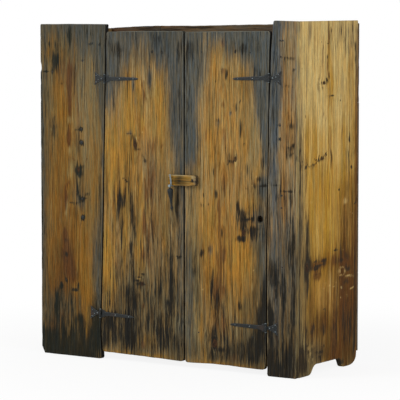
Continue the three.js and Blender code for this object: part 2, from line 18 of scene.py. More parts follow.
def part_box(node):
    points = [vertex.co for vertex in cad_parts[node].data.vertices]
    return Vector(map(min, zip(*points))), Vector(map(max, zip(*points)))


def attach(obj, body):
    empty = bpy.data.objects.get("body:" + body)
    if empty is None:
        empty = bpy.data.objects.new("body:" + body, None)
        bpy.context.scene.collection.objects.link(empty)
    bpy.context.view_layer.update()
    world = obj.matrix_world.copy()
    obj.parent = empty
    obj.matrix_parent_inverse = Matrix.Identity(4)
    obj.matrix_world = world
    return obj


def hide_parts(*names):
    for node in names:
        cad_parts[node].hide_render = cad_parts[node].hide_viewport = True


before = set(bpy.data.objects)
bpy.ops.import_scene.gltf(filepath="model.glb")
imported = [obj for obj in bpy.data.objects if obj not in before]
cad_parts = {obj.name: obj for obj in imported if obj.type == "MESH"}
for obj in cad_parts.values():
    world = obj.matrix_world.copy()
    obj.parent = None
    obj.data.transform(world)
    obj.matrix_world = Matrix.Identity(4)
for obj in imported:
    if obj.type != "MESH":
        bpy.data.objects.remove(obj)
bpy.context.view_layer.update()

LOG = logging.getLogger("jelly_cupboard")
MM = 0.001
FRONT = -0.223  # the stiles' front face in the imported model's frame, in metres
CASE = Vector((-0.6185, FRONT, 0.0))  # the origin of the case coordinates
IRON_SLOT = "forged_iron"

X, Y, Z = Vector((1, 0, 0)), Vector((0, 1, 0)), Vector((0, 0, 1))
Colour = tuple[float, float, float]
Curve = list[tuple[float, float]]
Marks = list[tuple[float, ...]]


class Tone(Enum):
    """What weather and use have done to a patch of board, with a painted highlight along its rubbed edges.
    """

    GREY = "grey"
    SOOT = "soot"
    RED = "red"
    HONEY = "honey"
    PALE = "pale"
    UMBER = "umber"
    BURNT = "burnt"
    CHAR = "char"
    OLIVE = "olive"
    RUDDY = "ruddy"
    RUBBED = "rubbed"

    @property
    def soft(self) -> bool:
        """Whether its patches fade out broadly, as rain and smoke leave them."""
        return self not in (Tone.SOOT, Tone.RED, Tone.PALE)


class Grain(Enum):
    """How a board lies: the numbers of the axes of its length, its width and its thickness."""

    UPRIGHT = (2, 0, 1)
    UPRIGHT_SIDE = (2, 1, 0)
    ACROSS = (0, 2, 1)
    LEVEL = (0, 1, 2)
    DEEP = (1, 2, 0)


# Case measures that the pieces share, in millimetres; each curve gives a place or a gap by height
WIDTH = 1237.0
STILE_T, SIDE_T, DOOR_T = 24.0, 22.0, 21.0
LEFT_STILE_EDGE: Curve = [
    (0, 308.9), (102.4, 303.2), (191.1, 305.5), (447.7, 314.2), (977.3, 326.0), (1365, 335)]
RIGHT_STILE_EDGE: Curve = [
    (0, 1108.4), (180, 1107.4), (489.7, 1108), (990.4, 1114.1), (1265.4, 1123), (1370, 1131.5)]
LEFT_GAP = 6.3
RIGHT_GAP: Curve = [(24, 10), (70, 6.5), (489.7, 6), (990.4, 4.4), (1329, 10.5)]


def at_case(x: float, y: float, z: float) -> Vector:
    """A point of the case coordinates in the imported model's frame, in metres."""
    return CASE + Vector((x, y, z)) * MM


def along(curve: Curve, where: np.ndarray | float) -> np.ndarray:
    """A curve's value at one place or at many."""
    return np.interp(where, [p[0] for p in curve], [p[1] for p in curve])


def smooth(low: float, high: float, value: np.ndarray) -> np.ndarray:
    """A smooth step from 0 at low to 1 at high."""
    t = np.clip((value - low) / (high - low), 0, 1)
    return t * t * (3 - 2 * t)


def ripple(a: np.ndarray, b: np.ndarray, seed: int) -> np.ndarray:
    """Smooth noise from 0 to 1 over a plane, with a period of one cell.

    Args:
        a: first coordinate of each point, in cells.
        b: second coordinate.
        seed: which of the many patterns.

    Returns:
        One value for each point.
    """
    i, j = np.floor(a).astype(np.int64), np.floor(b).astype(np.int64)
    s, t = smooth(0, 1, a - i), smooth(0, 1, b - j)

    def corner(di: int, dj: int) -> np.ndarray:
        """The value at one corner of every point's cell.

        Args:
            di: 0 for the left corners, 1 for the right ones.
            dj: 0 for the lower corners, 1 for the upper ones.

        Returns:
            Values from 0 to 1.
        """
        h = ((i + di) * 374761393 + (j + dj) * 668265263 + seed * 1442695041) & 0x7FFFFFFF
        h = ((h ^ (h >> 13)) * 1274126177) & 0x7FFFFFFF
        return ((h ^ (h >> 16)) & 0xFFFF) / 65535.0

    low = corner(0, 0) * (1 - s) + corner(1, 0) * s
    high = corner(0, 1) * (1 - s) + corner(1, 1) * s
    return low * (1 - t) + high * t


# ---- mesh helpers

SHARP = 40  # edges that turn by more degrees than this stay sharp
MERGE = 1e-6  # points closer than this, in metres, are one


def bare_selection() -> None:
    """Leaves object mode with nothing selected."""
    if bpy.context.object and bpy.context.object.mode != "OBJECT":
        bpy.ops.object.mode_set(mode="OBJECT")
    bpy.ops.object.select_all(action="DESELECT")


def hold(obj: bpy.types.Object) -> None:
    """Makes an object the only one selected, and active.

    Args:
        obj: the object.
    """
    bare_selection()
    obj.select_set(True)
    bpy.context.view_layer.objects.active = obj


@contextmanager
def editing(obj: bpy.types.Object) -> Iterator[None]:
    """Edit mode on one object, with everything selected at its start.

    Args:
        obj: the object.

    Yields:
        Nothing; edit mode ends with the block.
    """
    hold(obj)
    bpy.ops.object.mode_set(mode="EDIT")
    bpy.ops.mesh.select_all(action="SELECT")
    yield
    bpy.ops.object.mode_set(mode="OBJECT")


def face_outwards() -> None:
    """Turns every face of the mesh in edit mode outwards."""
    bpy.ops.mesh.select_all(action="SELECT")
    bpy.ops.mesh.normals_make_consistent(inside=False)


def points_of(obj: bpy.types.Object) -> np.ndarray:
    """An object's vertices as rows of three numbers.

    Args:
        obj: the object.

    Returns:
        The rows, in metres.
    """
    co = np.empty(len(obj.data.vertices) * 3, np.float32)
    obj.data.vertices.foreach_get("co", co)
    return co.reshape(-1, 3).astype(float)


def put_points(obj: bpy.types.Object, co: np.ndarray) -> None:
    """Moves an object's vertices to the given rows."""
    obj.data.vertices.foreach_set("co", co.astype(np.float32).ravel())
    obj.data.update()


def keep_attribute(obj: bpy.types.Object, name: str, values: np.ndarray) -> None:
    """Stores one number per vertex under a name that a finish reads."""
    layer = obj.data.attributes.get(name) or obj.data.attributes.new(name, "FLOAT", "POINT")
    layer.data.foreach_set("value", values.astype(np.float32))


def grid_column(obj: bpy.types.Object, axis: int, cells: int) -> np.ndarray:
    """Which column or row of a fresh grid each vertex is in.

    Args:
        obj: the grid, one metre wide and high.
        axis: 0 for the columns, 1 for the rows.
        cells: how many cells the grid has that way.

    Returns:
        A number from 0 to cells for each vertex.
    """
    return np.rint((points_of(obj)[:, axis] + 0.5) * cells).astype(int)


def apply_all(obj: bpy.types.Object) -> None:
    """Applies an object's modifiers in their order.

    Args:
        obj: the object.
    """
    hold(obj)
    for modifier in list(obj.modifiers):
        bpy.ops.object.modifier_apply(modifier=modifier.name)


def settle(
    obj: bpy.types.Object, name: str, body: str, finish: bpy.types.Material, nodes: tuple = (),
) -> bpy.types.Object:
    """Names a finished piece, dresses it and ties it to its body.

    Args:
        obj: the piece, with its place in its mesh.
        name: the piece's name.
        body: the body it rides on.
        finish: its material.
        nodes: the CAD nodes it stands for.

    Returns:
        The piece.
    """
    hold(obj)
    bpy.ops.object.transform_apply(location=True, rotation=True, scale=True)
    bpy.ops.object.shade_smooth_by_angle(angle=math.radians(SHARP))
    obj.name = obj.data.name = name
    obj.data.materials.clear()
    obj.data.materials.append(finish)
    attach(obj, body)
    if nodes:
        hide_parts(*nodes)
    LOG.info("%s: %d vertices on %s", name, len(obj.data.vertices), body)
    return obj


def joined(pieces: list[bpy.types.Object]) -> bpy.types.Object:
    """Several meshes as one object.

    Args:
        pieces: the meshes.

    Returns:
        The first piece, which now holds them all.
    """
    hold(pieces[0])
    for piece in pieces:
        piece.select_set(True)
    bpy.ops.object.join()
    return bpy.context.object


def there_and_back(end: Curve, *middle: tuple[float, float]) -> Curve:
    """A profile that is alike at both ends: one end, what lies between, and the end's mirror image."""
    return [*end, *middle, *((r, -d) for r, d in reversed(end))]


def turned(profile: Curve, centre: Vector, axis: Vector, steps: int) -> bpy.types.Object:
    """A turned form.

    Args:
        profile: pairs of radius and distance along the axis, in millimetres, from one end to the other.
        centre: where distance 0 lies.
        axis: the axis's direction.
        steps: how many faces go round.

    Returns:
        A closed mesh.
    """
    side = axis.orthogonal().normalized()
    rows = [centre + (side * r + axis.normalized() * d) * MM for r, d in profile]
    mesh = bpy.data.meshes.new("turned")
    mesh.from_pydata([tuple(p) for p in rows], [(i, i + 1) for i in range(len(rows) - 1)], [])
    obj = bpy.data.objects.new("turned", mesh)
    bpy.context.collection.objects.link(obj)
    with editing(obj):
        bpy.ops.mesh.spin(steps=steps, angle=math.tau, center=tuple(centre), axis=tuple(axis.normalized()))
        bpy.ops.mesh.select_all(action="SELECT")
        bpy.ops.mesh.remove_doubles(threshold=MERGE)
        face_outwards()
    return obj


# ---- finishes


class Sock:
    """A shader socket that takes part in arithmetic."""

    def __init__(self, graph: "Graph", out: bpy.types.NodeSocket) -> None:
        """Wraps a node's output."""
        self.graph, self.out = graph, out

    def _math(self, operation: str, first: object, second: object) -> "Sock":
        """A Math node on two values."""
        return self.graph.node("ShaderNodeMath", {"operation": operation}, {0: first, 1: second})

    def __add__(self, other: object) -> "Sock":
        """self + other."""
        return self._math("ADD", self, other)

    def __sub__(self, other: object) -> "Sock":
        """self - other."""
        return self._math("SUBTRACT", self, other)

    def __rsub__(self, other: object) -> "Sock":
        """other - self."""
        return self._math("SUBTRACT", other, self)

    def __mul__(self, other: object) -> "Sock":
        """self * other."""
        return self._math("MULTIPLY", self, other)

    def __truediv__(self, other: object) -> "Sock":
        """self / other."""
        return self._math("DIVIDE", self, other)

    def __pow__(self, other: object) -> "Sock":
        """self ** other."""
        return self._math("POWER", self, other)

    __radd__ = __add__
    __rmul__ = __mul__


class Graph:
    """The node tree of one finish."""

    def __init__(self, name: str) -> None:
        """Starts a material with its surface shader.

        Args:
            name: the material's name.
        """
        self.material = bpy.data.materials.new(name)
        self.material.use_nodes = True
        self.tree = self.material.node_tree
        self.shader = self.tree.nodes["Principled BSDF"]

    def node(
        self, kind: str, settings: dict | None = None, inputs: dict | None = None, out: int | str = 0,
    ) -> Sock:
        """Adds a node.

        Args:
            kind: the node's type.
            settings: its properties.
            inputs: values or sockets by the input's name or number.
            out: which output to return.

        Returns:
            The wrapped output.
        """
        made = self.tree.nodes.new(kind)
        for key, value in (settings or {}).items():
            setattr(made, key, value)
        for key, value in (inputs or {}).items():
            self.feed(made.inputs[key], value)
        return Sock(self, made.outputs[out])

    def feed(self, socket: bpy.types.NodeSocket, value: object) -> None:
        """Links or sets one input.

        Args:
            socket: the input.
            value: a wrapped output, a colour or a number.
        """
        if isinstance(value, Sock):
            self.tree.links.new(value.out, socket)
        elif isinstance(value, tuple) and len(value) == 3 and socket.type == "RGBA":
            socket.default_value = (*value, 1)
        else:
            socket.default_value = value

    def axes(self) -> tuple[Sock, Sock, Sock]:
        """The object's own x, y and z.

        Returns:
            The three of them, in metres.
        """
        place = self.node("ShaderNodeTexCoord", out="Object")
        split = self.node("ShaderNodeSeparateXYZ", inputs={0: place})
        return split, Sock(self, split.out.node.outputs[1]), Sock(self, split.out.node.outputs[2])

    def attribute(self, name: str) -> Sock:
        """A number kept on the mesh, 0 where it has none."""
        return self.node("ShaderNodeAttribute", {"attribute_name": name}, out="Fac")

    def noise(self, place: tuple, detail: float, rough: float) -> Sock:
        """Noise at a place of three values, each already scaled.

        Args:
            place: the three values.
            detail: how many finer layers it has.
            rough: how strong they are.

        Returns:
            Noise from 0 to 1.
        """
        vector = self.node("ShaderNodeCombineXYZ", inputs=dict(enumerate(place)))
        keys = {"Vector": vector, "Scale": 1.0, "Detail": detail, "Roughness": rough}
        return self.node("ShaderNodeTexNoise", inputs=keys)

    def strands(self, place: tuple, wide: float, long: float, seed: float, detail: float = 3) -> Sock:
        """Long strands from 0 to 1.

        Args:
            place: across, into and along the grain, in metres.
            wide: a strand's width in metres.
            long: its length in metres.
            seed: which of the many patterns.
            detail: how many finer layers it has.

        Returns:
            The strands, spread over the whole range.
        """
        across, into, up = place
        raw = self.noise((across / wide, into / wide, up / long + seed), detail, 0.6)
        return self.node("ShaderNodeMapRange", inputs={"Value": raw, "From Min": 0.3, "From Max": 0.7})

    def ease(self, value: Sock, low: float, high: float) -> Sock:
        """A smooth step from 0 at low to 1 at high."""
        keys = {"Value": value, "From Min": low, "From Max": high}
        return self.node("ShaderNodeMapRange", {"interpolation_type": "SMOOTHSTEP"}, keys)

    def mix(self, first: object, second: object, share: object, blend: str = "MIX") -> Sock:
        """One colour over another.

        Args:
            first: the lower colour.
            second: the upper one.
            share: how much the upper one counts.
            blend: how the two blend.

        Returns:
            The colour.
        """
        made = self.node("ShaderNodeMix", {"data_type": "RGBA", "blend_type": blend}, out=2)
        for index, value in ((0, share), (6, first), (7, second)):
            self.feed(made.out.node.inputs[index], value)
        return made

    def scaled(self, colour: Sock | Colour, value: object) -> Sock:
        """A colour made brighter or darker."""
        return self.node("ShaderNodeVectorMath", {"operation": "SCALE"}, {0: colour, "Scale": value})

    def finish(
        self, colour: Sock, rough: object, height: Sock, deep: float, **same: float,
    ) -> bpy.types.Material:
        """Connects the shader.

        Args:
            colour: base colour.
            rough: roughness.
            height: relief, from 0 to 1.
            deep: what a relief of 1 is, in metres.
            **same: shader inputs that are the same all over, with _ for a space.

        Returns:
            The material.
        """
        self.feed(self.shader.inputs["Base Color"], colour)
        self.feed(self.shader.inputs["Roughness"], rough)
        bump = self.node("ShaderNodeBump", inputs={"Height": height, "Distance": deep, "Strength": 1.0})
        self.feed(self.shader.inputs["Normal"], bump)
        for key, value in same.items():
            self.shader.inputs[key.replace("_", " ")].default_value = value
        return self.material


def sway(*terms: tuple[Sock, float]) -> Sock:
    """A sum of noises that swing about zero, each with its weight.

    Args:
        *terms: noises from 0 to 1, each with its weight.

    Returns:
        The sum.
    """
    (noise, weight), *others = terms
    total = (noise - 0.5) * weight
    for noise, weight in others:
        total = total + (noise - 0.5) * weight
    return total


# Colours that are alike on every board
LATE_WOOD: Colour = (0.52, 0.34, 0.20)  # what the dark half of a growth ring is multiplied by
COOL: Colour = (0.90, 1.01, 1.12)  # the fibres' hues lie between a multiplication by this
WARM: Colour = (1.10, 0.99, 0.80)  # and by this
KNOT_DARK: Colour = (0.022, 0.014, 0.010)
KNOT_RED: Colour = (0.070, 0.034, 0.015)
# pale wood rubbed bare on the arrises, and the painted highlight that the rounded edges catch
WORN_EDGE_AND_HIGHLIGHT: Colour = (0.150, 0.150, 0.125)

# The layers of strands: width and length in metres, which pattern, how many finer layers
STRANDS = {
    "band": (0.0500, 0.800, 1.7, 3),
    "streak": (0.0105, 0.270, 5.1, 3),
    "fibre": (0.0031, 0.140, 9.3, 4),
    "fine": (0.0015, 0.032, 3.9, 3),
    "dash": (0.0028, 0.045, 7.7, 3),
    "line": (0.0062, 0.190, 8.8, 2),
    "vein": (0.0150, 0.600, 6.3, 4),
    "tinge": (0.0210, 0.750, 2.2, 4),
    "tint": (0.0056, 0.085, 10.6, 3),
}


@dataclass(frozen=True)
class Strands:
    """The layers of one board's grain, each from 0 to 1."""

    band: Sock
    streak: Sock
    fibre: Sock
    fine: Sock
    dash: Sock
    line: Sock
    vein: Sock
    tinge: Sock
    tint: Sock
    speck: Sock  # fine grit over the strands


@dataclass(frozen=True)
class Pine:
    """Old pine: growth rings and fibres, with the weathering and the painted edge shade that its board's
    mesh carries.
    """

    name: str
    pith: tuple[float, float]  # where the heart of the tree lay, across and into the board
    grain: Grain = Grain.UPRIGHT
    fresh: Colour = (0.225, 0.158, 0.068)
    honey: Colour = (0.262, 0.140, 0.038)
    brown: Colour = (0.060, 0.036, 0.016)
    grey: Colour = (0.064, 0.064, 0.055)
    soot: Colour = (0.015, 0.014, 0.012)
    red: Colour = (0.105, 0.047, 0.018)
    pale: Colour = (0.400, 0.310, 0.170)
    umber: Colour = (0.066, 0.052, 0.029)
    burnt: Colour = (0.085, 0.040, 0.013)
    ruddy: Colour = (0.170, 0.098, 0.044)
    olive: Colour = (0.165, 0.132, 0.062)
    edge_colour_and_shade: Colour = (0.014, 0.013, 0.012)  # the edge faces: painted shade, nearly black, in the gaps, bores and cut faces; their own colour where they show clean
    gold: float = 0.25  # how much honey there is before any is painted
    ring: float = 0.0055  # a growth ring's width in metres
    taper: float = 0.02  # how much the rings draw in along the board
    edge_own_colour: float = 0.0  # how much the edge faces show their own colour and fewer weather tones instead of the painted shade
    hues: float = 0.85  # how much the fibres differ in hue
    mottle: float = 0.3  # how much short dashes darken the wood
    contrast: float = 1.0  # how strongly fibres and dashes lighten and darken
    grime: float = 0.8  # how dark the dashes in the grain are
    seed: float = 0.0

    def late_wood(self, g: Graph, place: tuple[Sock, Sock, Sock, Sock], streak: Sock) -> Sock:
        """The dark half of each growth ring.

        Args:
            g: the finish's graph.
            place: the board's width, the same with the flow round its knots, its thickness and its length.
            streak: what frays the rings.

        Returns:
            0 in early wood, 1 in late wood.
        """
        a, side, b, up = place
        cloud = g.noise((a * 11, b * 11, up * 5 + self.seed), 3, 0.5)
        across = ((side - self.pith[0]) ** 2 + (b - self.pith[1]) ** 2) ** 0.5
        rings = (across + up * self.taper + sway((cloud, 0.016), (streak, 0.0012))) / self.ring
        ring = g.node("ShaderNodeMath", {"operation": "FRACT"}, {0: rings})
        return g.ease(ring, 0.35, 0.9) * (1 - g.ease(ring, 0.92, 1.0))

    def clean_wood(self, g: Graph, s: Strands, late: Sock, amber: Sock) -> Sock:
        """The wood's colour before weather and dirt.

        Args:
            g: the finish's graph.
            s: the strands.
            late: where the dark halves of the growth rings are.
            amber: how far the wood has gone from fresh to honey.

        Returns:
            The colour.
        """
        wood = g.mix(self.fresh, self.honey, amber)
        olive = s.tinge * 0.6 + g.attribute("olive") * 0.8 + sway((s.fibre, 0.2))
        wood = g.mix(wood, self.olive, g.ease(olive, 0.4, 1.2) * 0.75)
        ruddy = s.vein * 0.6 + g.attribute("ruddy") * 0.8 + sway((s.fibre, 0.25))
        wood = g.mix(wood, self.ruddy, g.ease(ruddy, 0.42, 1.2) * 0.75)
        brown = g.ease(s.fibre * 0.6 + s.streak * 0.4, 0.5, 1.0)
        wood = g.mix(wood, self.brown, brown * (0.75 * self.contrast))
        return g.mix(wood, LATE_WOOD, late * 0.45, "MULTIPLY")

    def stained(self, g: Graph, s: Strands, wood: Sock, clean: Sock) -> Sock:
        """Lays the tones of weather and use over the wood.

        Args:
            g: the finish's graph.
            s: the strands.
            wood: the colour so far.
            clean: how much of each tone shows.

        Returns:
            The colour with its stains.
        """
        crumbs = s.dash * 0.36 + s.fibre * 0.2 + s.line * 0.3 + s.streak * 0.14
        coarse = sway((s.band, 0.2), (s.streak, 0.24), (crumbs, 0.55))
        thin = sway((crumbs, 1.5))
        grain = sway((s.fibre, -0.8), (s.fine, -0.7), (s.dash, -0.35), (s.streak, -0.3))
        layers = (  # tone, colour, what frays its border, where it starts and is full, how much it hides
            (Tone.BURNT, self.burnt, coarse, 0.0, 1.0, 0.93),
            (Tone.UMBER, self.umber, coarse, 0.0, 1.0, 0.85),
            (Tone.RED, self.red, thin * 0.8, 0.10, 1.0, 0.85),
            (Tone.PALE, self.pale, thin * 0.8, 0.15, 1.0, 0.7),
            (Tone.GREY, self.grey, coarse, 0.0, 1.0, 0.92),
            (Tone.SOOT, self.soot, thin, 0.15, 0.90, 0.95),
        )
        for tone, colour, frayed, low, high, most in layers:
            amount = g.attribute(tone.value) * clean
            mask = g.ease(amount * 1.1 + frayed * g.ease(amount, 0.0, 0.35), low, high) * most
            wood = g.mix(wood, g.scaled(colour, grain + 1.0), mask)
        dark = g.attribute("char") * 0.34 + g.attribute("soot") * 0.15 + g.attribute("grey") * 0.12
        char = g.ease(crumbs + dark, 0.74, 0.90)
        return g.mix(wood, self.soot, char * clean * self.grime)

    def material(self) -> bpy.types.Material:
        """Builds the finish.

        Returns:
            The material.
        """
        g = Graph(self.name)
        axes = g.axes()
        up, a, b = (axes[i] for i in self.grain.value)
        side = a + g.attribute("flow")
        speck = g.noise((side * 260, b * 260, up * 80 + self.seed), 3, 0.6)
        s = Strands(speck=speck, **{
            name: g.strands((side, b, up), wide, long, self.seed + seed, detail)
            for name, (wide, long, seed, detail) in STRANDS.items()})

        late = self.late_wood(g, (a, side, b, up), s.streak)
        honey = g.attribute("honey") + self.gold + sway((s.streak, 0.4), (s.band, 0.35))
        amber = g.ease(honey, 0.05, 1.05)
        light = sway(
            (s.fibre, -0.5), (s.streak, -0.24), (s.band, -0.12), (s.fine, -0.5), (s.dash, -self.mottle),
            (s.line, -0.34), (speck, 0.5))
        wood = g.scaled(self.clean_wood(g, s, late, amber), light * self.contrast + 1.06)

        # rim: the edge faces and the bores, where shade is painted in unless the edges show clean
        rim = g.attribute("rim")
        cut = g.scaled(self.edge_colour_and_shade, light * self.contrast + 1.03)
        wood = g.mix(wood, cut, rim * self.edge_own_colour)
        wood = self.stained(g, s, wood, 1 - rim * (self.edge_own_colour * 0.2))
        # painted shade: the edge faces in the gaps between parts, the cut faces and the bores go nearly
        # black
        wood = g.mix(wood, self.edge_colour_and_shade, rim * (0.95 * (1 - self.edge_own_colour)))
        wood = g.mix(wood, g.mix(COOL, WARM, g.ease(s.tint, 0.36, 0.64)), self.hues, "MULTIPLY")

        knot = g.attribute("knot")
        eye = g.noise((knot * 9, a * 60, up * 60), 2, 0.5)
        heart = g.mix(KNOT_DARK, KNOT_RED, g.ease(eye, 0.38, 0.62))
        wood = g.mix(wood, heart, g.ease(knot + sway((speck, 0.25)), 0.25, 0.70) * 0.9)

        # worn arrises: pale rubbed wood, and a painted highlight along the rounded edges
        rubbed = g.attribute("rubbed")
        wear_and_glint = g.attribute("arris") + rubbed * 0.3 + sway((s.streak, 0.4), (speck, 0.8))
        bare = g.ease(wear_and_glint, 0.6, 1.0) * (1 - rim) * (rubbed * 0.75 + 0.15)
        wood = g.mix(wood, WORN_EDGE_AND_HIGHLIGHT, bare)

        height = s.fibre * -0.4 + s.fine * -0.25 + speck * 0.15 - late * 0.12 - g.attribute("soot") * 0.1
        rough = 0.90 - amber * 0.10 + sway((speck, 0.15))
        return g.finish(wood, rough, height, 0.8 * MM, Specular_IOR_Level=0.05)


@dataclass(frozen=True)
class Iron:
    """Forged iron, black with a painted blue-grey sheen on its high places, a little rust in its low ones,
    and painted glints on rubbed edges.
    """

    name: str = IRON_SLOT
    black: Colour = (0.014, 0.016, 0.016)
    sheen: Colour = (0.044, 0.060, 0.066)
    rust: Colour = (0.045, 0.026, 0.016)
    glint: Colour = (0.330, 0.390, 0.400)
    lit: float = 0.22

    def material(self) -> bpy.types.Material:
        """Builds the finish.

        Returns:
            The material.
        """
        g = Graph(self.name)
        x, y, z = g.axes()
        dents = g.noise((x * 160, y * 160, z * 160), 2, 0.5)
        scale = g.noise((x * 620, y * 620, z * 620), 4, 0.6)
        patch = g.noise((x * 38, y * 38, z * 38), 2, 0.5)
        # painted sheen: blue-grey on the high spots of the hammer work
        colour = g.mix(self.black, self.sheen, g.ease(dents + sway((scale, 0.8)), 0.44, 0.72) * self.lit)
        colour = g.mix(colour, self.rust, g.ease(patch + sway((scale, 0.7)), 0.56, 0.72) * 0.55)
        wear_and_glint = g.attribute("arris") + sway((dents, 0.6), (scale, 0.5))
        # painted glint, with rubbed wear: pale blue-grey on the edges, nail heads and pegs
        colour = g.mix(colour, self.glint, g.ease(wear_and_glint, 0.35, 1.1) * 0.75)
        rough = 0.52 + sway((scale, 0.3))
        height = dents * 0.7 + scale * 0.3
        return g.finish(colour, rough, height, 0.7 * MM, Metallic=0.2, Specular_IOR_Level=0.25)


# ---- boards


@dataclass
class Slab:
    """A flat piece with a free outline, cut up finely enough to be worn and marked point by point."""

    name: str
    body: str
    node: str
    face: Vector  # out of the side that is seen
    grain: Vector
    corner: Vector  # where both board coordinates are 0, on the face
    left: Curve
    right: Curve
    foot: Curve
    top: Curve
    thick: float
    step: tuple[float, float] = (4.6, 7.0)
    rounds: tuple[float, float, float, float] = (2, 2, 2, 2)  # foot left, foot right, top right, top left
    arris: float = 1.6
    splits: Marks = field(default_factory=list)  # across, from, to, depth
    slot: str = "weathered_pine"
    seed: int = 1

    @property
    def wide(self) -> Vector:
        """The direction across the board, to the right of one who looks at its face."""
        return self.grain.cross(self.face)

    def world(self, a: np.ndarray, b: np.ndarray, deep: np.ndarray) -> np.ndarray:
        """Board places, in millimetres, as points of the model, in metres."""
        rows = np.outer(a, self.wide) + np.outer(b, self.grain) - np.outer(deep, self.face)
        return rows * MM + np.array(self.corner)

    def local(self, points: np.ndarray) -> tuple[np.ndarray, np.ndarray, np.ndarray]:
        """Points of the model as places across, along and into the board, in millimetres."""
        rows = (points - np.array(self.corner)) / MM
        return rows @ np.array(self.wide), rows @ np.array(self.grain), -(rows @ np.array(self.face))

    def place(self, a: float, b: float) -> Vector:
        """A place on the board's face as a point of the model."""
        return self.corner + (self.wide * a + self.grain * b) * MM

    def share_of(self, place: float) -> tuple[float, float]:
        """A place across the board as a share of its width at middle height, and that width.

        Args:
            place: millimetres across.

        Returns:
            The share, and the width in millimetres.
        """
        middle = (min(p[1] for p in self.foot) + max(p[1] for p in self.top)) / 2
        low = float(along(self.left, middle))
        span = float(along(self.right, middle)) - low
        return (place - low) / span, span

    @staticmethod
    def spacing(length: float, step: float) -> np.ndarray:
        """Places along a side as shares of it, closer together near its ends.

        Args:
            length: the side's length in millimetres.
            step: how far apart they are in its middle.

        Returns:
            Shares from 0 to 1.
        """
        margin = min(14.0, length / 5)
        close = np.array((0.0, 0.2, 0.42, 0.7)) * margin
        inner = np.linspace(margin, length - margin, max(2, round((length - 2 * margin) / step)) + 1)
        return np.concatenate([close, inner, (length - close)[::-1]]) / length

    def ends(self, a: np.ndarray, b: np.ndarray) -> tuple[np.ndarray, np.ndarray]:
        """The board's lower and upper end above each place, with its corners rounded.

        Args:
            a: places across the board.
            b: places along it.

        Returns:
            The lower and the upper end, one value of each for each place.
        """
        low, high = along(self.foot, a), along(self.top, a)
        for (edge, sign), radius, upper in (
            ((self.left, 1), self.rounds[0], False), ((self.right, -1), self.rounds[1], False),
            ((self.right, -1), self.rounds[2], True), ((self.left, 1), self.rounds[3], True),
        ):
            near = np.clip(radius - sign * (a - along(edge, b)), 0, radius)
            rise = radius - np.sqrt(np.maximum(radius * radius - near * near, 0))
            low, high = (low, high - rise) if upper else (low + rise, high)
        return low, high

    def blank(self) -> bpy.types.Object:
        """The board as a grid pulled to its outline, thickened, its arrises bevelled.

        Returns:
            The mesh, not yet worn.
        """
        base, peak = min(p[1] for p in self.foot), max(p[1] for p in self.top)
        span = self.share_of(0)[1]
        across = self.spacing(span, self.step[0])
        for place, *_ in self.splits:
            share = self.share_of(place)[0]
            across = across[np.abs(across - share) * span > 2.2]
            across = np.sort(np.concatenate([across, share + np.array((-1.0, 0.0, 1.0)) / span]))
        upward = self.spacing(peak - base, self.step[1])
        bare_selection()
        cuts = dict(x_subdivisions=len(across) - 1, y_subdivisions=len(upward) - 1)
        bpy.ops.mesh.primitive_grid_add(**cuts, size=1)
        obj = bpy.context.object
        u, v = across[grid_column(obj, 0, len(across) - 1)], upward[grid_column(obj, 1, len(upward) - 1)]
        b = base + (peak - base) * v
        low, high = along(self.left, b), along(self.right, b)
        a = low + (high - low) * u
        bottom, summit = self.ends(a, b)
        b = bottom + (summit - bottom) * v
        put_points(obj, self.world(a, b, np.zeros_like(a)))
        with editing(obj):
            back = tuple(-self.face * self.thick * MM)
            bpy.ops.mesh.extrude_region_move(TRANSFORM_OT_translate={"value": back})
            face_outwards()
        a, b, deep = self.local(points_of(obj))
        put_points(obj, self.world(a, b, np.where(deep > self.thick * 0.75, self.thick, deep)))
        with editing(obj):
            bpy.ops.mesh.select_all(action="DESELECT")
            bpy.ops.mesh.select_mode(type="EDGE")
            bpy.ops.mesh.edges_select_sharp(sharpness=math.radians(58))
            bpy.ops.mesh.bevel(offset=self.arris * MM, segments=2, affect="EDGES", clamp_overlap=True)
        return obj


